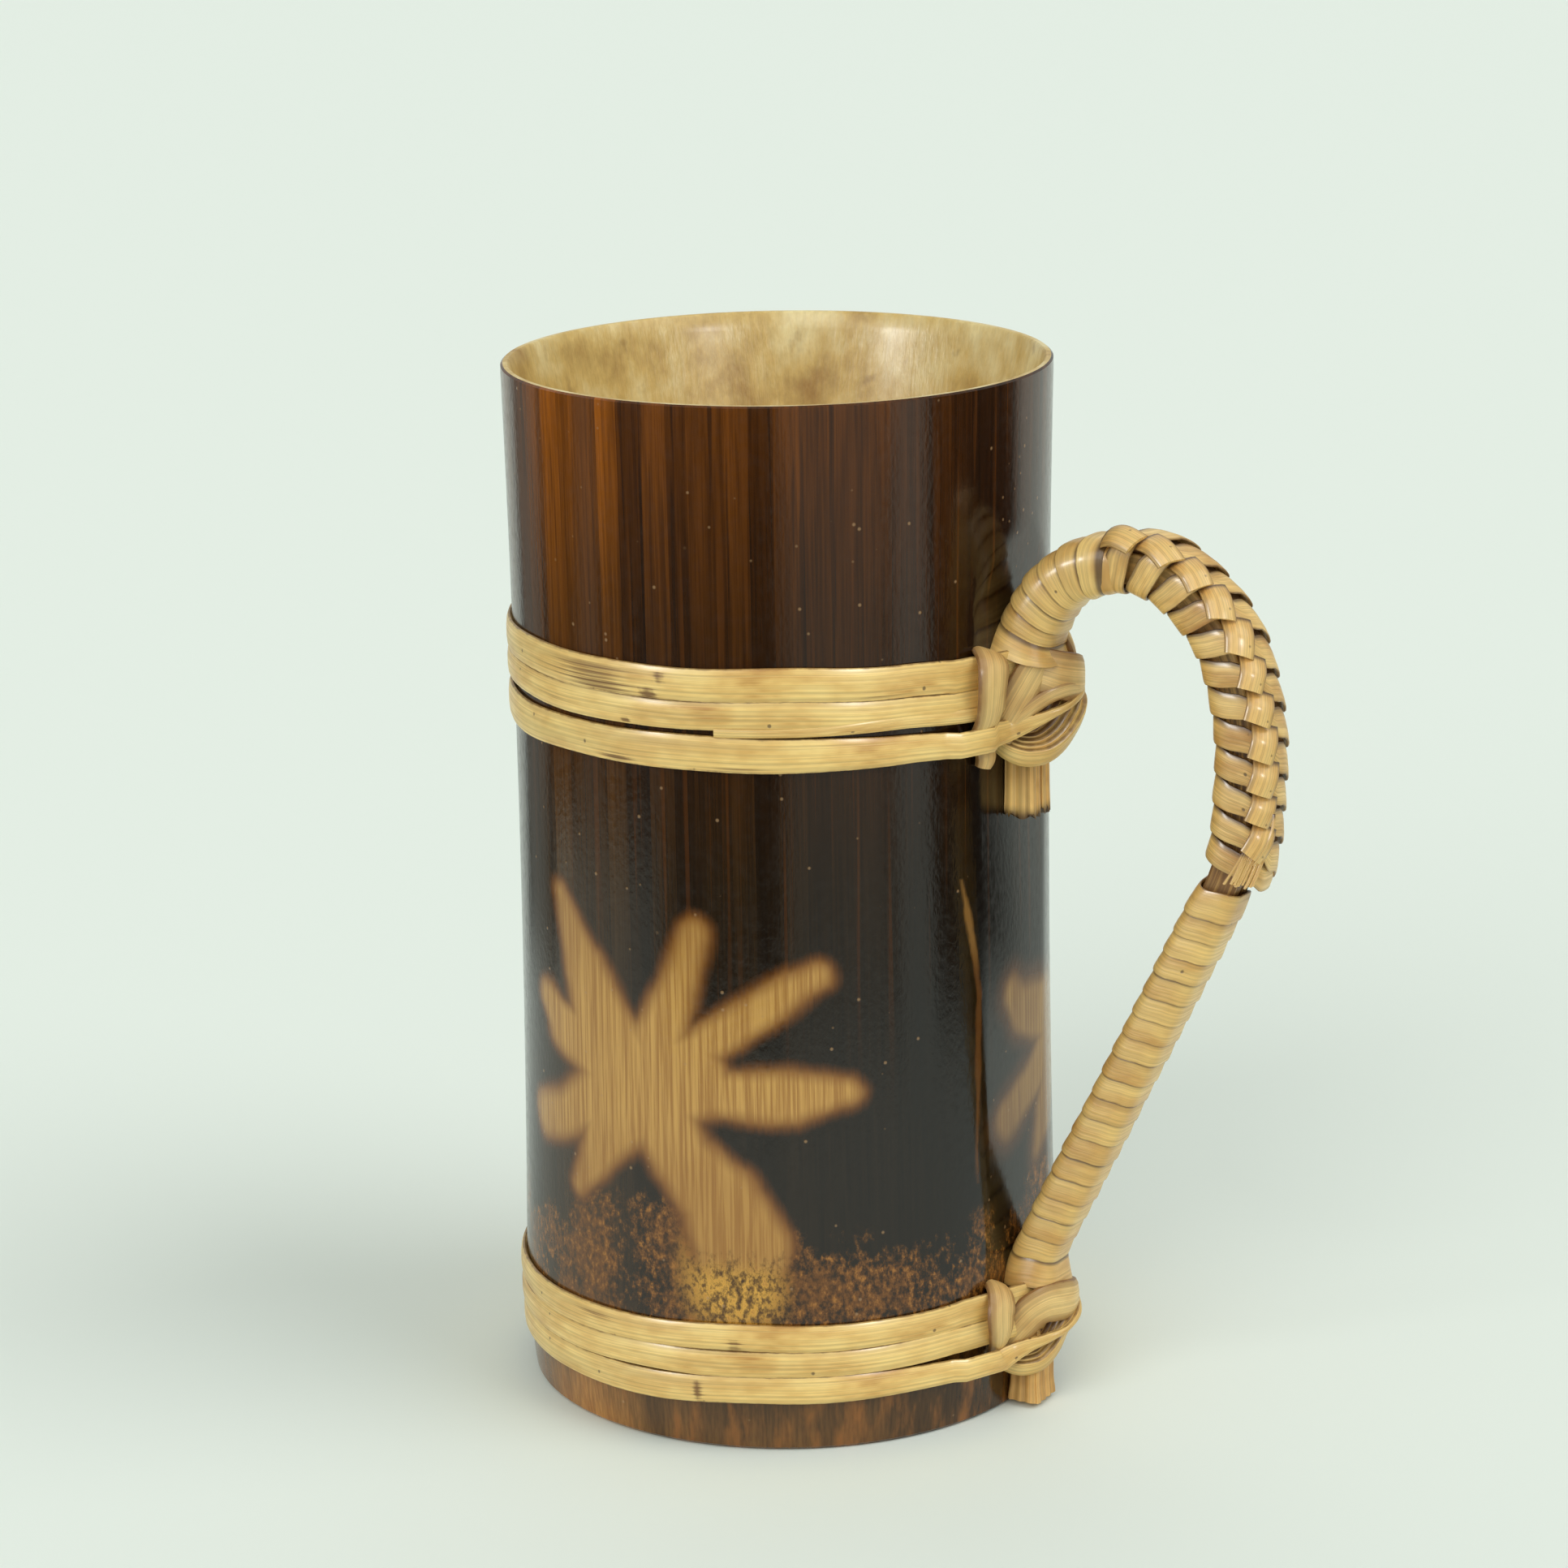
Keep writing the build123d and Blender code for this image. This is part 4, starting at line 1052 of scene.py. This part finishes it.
def paredInside():
    material, shader = newMaterial("paredInside", Specular_IOR_Level=0.35, Coat_Weight=0.25,
                                   Coat_Roughness=0.25)
    spot = addNode("TexCoord", {})["Object"]
    cloud = streaks(spot, 0.7, 95.0, 5.0, 0.62)
    fibre = streaks(spot, 0.03, 1500.0, 3.0, 0.6)
    body = colourSteps(cloud, [(0.3, (168, 128, 62)), (0.48, (216, 184, 110)), (0.68, (246, 228, 170))])
    body = tinted(body, between(fibre, 0.3, 0.7, (0.93, 1.05)))
    spots = streaks(spot, 0.7, 260.0, 3.0, 0.5)
    body = mixed(between(spots, 0.64, 0.78, (0.0, 0.4)), body, (132, 92, 44))
    plug(shader["Base Color"], body)
    plug(shader["Roughness"], between(cloud, 0.3, 0.7, (0.5, 0.32)))
    bumpInto(shader, plus(cloud, fibre), 0.35, 0.0004)
    return material


def sawnBase():
    material, shader = newMaterial("sawnBase", Specular_IOR_Level=0.3)
    spot = addNode("TexCoord", {})["Object"]
    grain = noise(spot, 900.0, 4.0, 0.7)
    saw = noise(vectorCalc("MULTIPLY", spot, (1.0, 0.05, 1.0)), 700.0, 3.0, 0.5)
    body = mixed(between(grain, 0.35, 0.65), (150, 116, 70), (196, 164, 112))
    body = mixed(between(saw, 0.5, 0.7, (0.0, 0.5)), body, (110, 78, 44))
    plug(shader["Base Color"], body)
    plug(shader["Roughness"], between(grain, 0.3, 0.7, (0.7, 0.5)))
    bumpInto(shader, plus(grain, saw), 0.5, 0.0004)
    return material


wearSlot(culmPiece, "culm_cup", culmSkin())
culmPiece.data.materials.append(paredInside())
culmPiece.data.materials.append(sawnBase())
for face in culmPiece.data.polygons:
    centre = face.center / mm
    looksIn = face.normal.x * centre.x + face.normal.y * centre.y < 0
    if centre.z < culm["sawnUnder"]:
        face.material_index = 2
    elif centre.z > culm["rimOver"] or looksIn or math.hypot(centre.x, centre.y) < culm["insideOf"]:
        face.material_index = 1
print("culm stained")

# Floor: painted reflection: only to glossy rays is the floor dark, so the varnish sees a sheet of limited
# size, with a dim room in front of it and bright lanes in that
# A lane's start and end are degrees round from the camera's side, then how bright it is
floorLook = {"size": 8, "tone": (236, 244, 236), "dark": (8, 8, 7), "darkest": 0.97, "sheet": (0.19, 0.27),
             "leftSheet": (0.37, 0.3), "leftBright": 0.8, "leftFrom": (-2.0, -1.85), "leftTo": (-0.8, -1.0),
             "right": (0.866, 0.5), "laneRise": 5, "laneFall": 3,
             "lanes": [(0, 42, 0.46), (45, 62, 0.9), (115, 185, 0.9), (-185, -140, 0.9), (-136, -116, 0.4),
                       (-90, -80, 0.35)]}


def paleFloor():
    material, shader = newMaterial("paleFloor", Roughness=0.8, Specular_IOR_Level=0.1)
    spot = addNode("TexCoord", {})["Object"]
    x, y, _ = addNode("SeparateXYZ", {0: spot})
    away = vectorCalc("LENGTH", spot, output=1)
    rightX, rightY = floorLook["right"]
    right = plus(times(x, rightX), times(y, rightY))
    near = minus(times(x, rightY), times(y, rightX))
    fromCamera = calc("ARCTAN2", right, near)
    edgeIn, edgeOut = floorLook["laneRise"], floorLook["laneFall"]
    bright = None
    for start, end, strength in floorLook["lanes"]:
        rise = between(fromCamera, math.radians(start - edgeIn), math.radians(start + edgeIn))
        fall = between(fromCamera, math.radians(end + edgeOut), math.radians(end - edgeOut))
        lane = times(rise, fall, strength)
        bright = lane if bright is None else calc("MAXIMUM", bright, lane)
    leftSheet = times(between(fromCamera, *floorLook["leftFrom"]), between(fromCamera, *floorLook["leftTo"]),
                      between(away, *floorLook["leftSheet"], (0.0, floorLook["leftBright"])))
    bright = calc("MAXIMUM", bright, leftSheet)
    dimmed = times(between(away, *floorLook["sheet"]), minus(floorLook["darkest"], bright))
    # painted reflection: the floor darkens, save for its bright lanes, only where glossy rays see it
    seenInGloss = addNode("LightPath", {})["Is Glossy Ray"]
    plug(shader["Base Color"], mixed(times(dimmed, seenInGloss), floorLook["tone"], floorLook["dark"]))
    return material


bpy.ops.mesh.primitive_plane_add(size=floorLook["size"])
floor = bpy.context.object
floor.name = "floor"
floor.data.materials.append(paleFloor())

world = bpy.context.scene.world or bpy.data.worlds.new("softRoom")
bpy.context.scene.world = world
world.use_nodes = True
world.node_tree.nodes["Background"].inputs["Color"].default_value = paint(243, 249, 243)
world.node_tree.nodes["Background"].inputs["Strength"].default_value = 0.46
bpy.context.scene.view_settings.view_transform = "Standard"

# Lamps: where each shines from, its spread in degrees, its power
studioLights = {"key": ((0.75, 0.1, 0.9), 40, 1.05), "fill": ((0.05, -0.93, 0.72), 38, 0.98),
                "back": ((-0.5, 0.7, 1.0), 60, 0.3), "glintLeft": ((-0.42, -0.9, 0.3), 10, 1.5),
                "glintRight": ((0.88, -0.47, 0.4), 10, 1.5)}
for label, (spot, spread, power) in studioLights.items():
    bpy.ops.object.light_add(type="SUN", location=spot)
    lamp = bpy.context.object
    lamp.name = label + "Light"
    lamp.data.angle = math.radians(spread)
    lamp.data.energy = power
    lamp.visible_diffuse = "glint" not in label  # two small lamps for the gloss alone
    lamp.rotation_euler = (-Vector(spot)).to_track_quat("-Z", "Y").to_euler()

view = {"lens": 102.33, "sensor": 36, "distance": 0.620886, "height": 0.259884, "turn": math.radians(30),
        "pitch": 0.2710, "roll": -0.0162}
bpy.ops.object.camera_add()
camera = bpy.context.object
camera.data.lens = view["lens"]
camera.data.sensor_width = view["sensor"]
towards = Vector((math.sin(view["turn"]), -math.cos(view["turn"]), 0))
aimed = Matrix.Translation(towards * view["distance"] + upright * view["height"])
aimed = aimed @ Matrix.Rotation(view["turn"], 4, "Z") @ Matrix.Rotation(math.pi / 2 - view["pitch"], 4, "X")
camera.matrix_world = aimed @ Matrix.Rotation(view["roll"], 4, "Z")
bpy.context.scene.camera = camera
print("studio set")
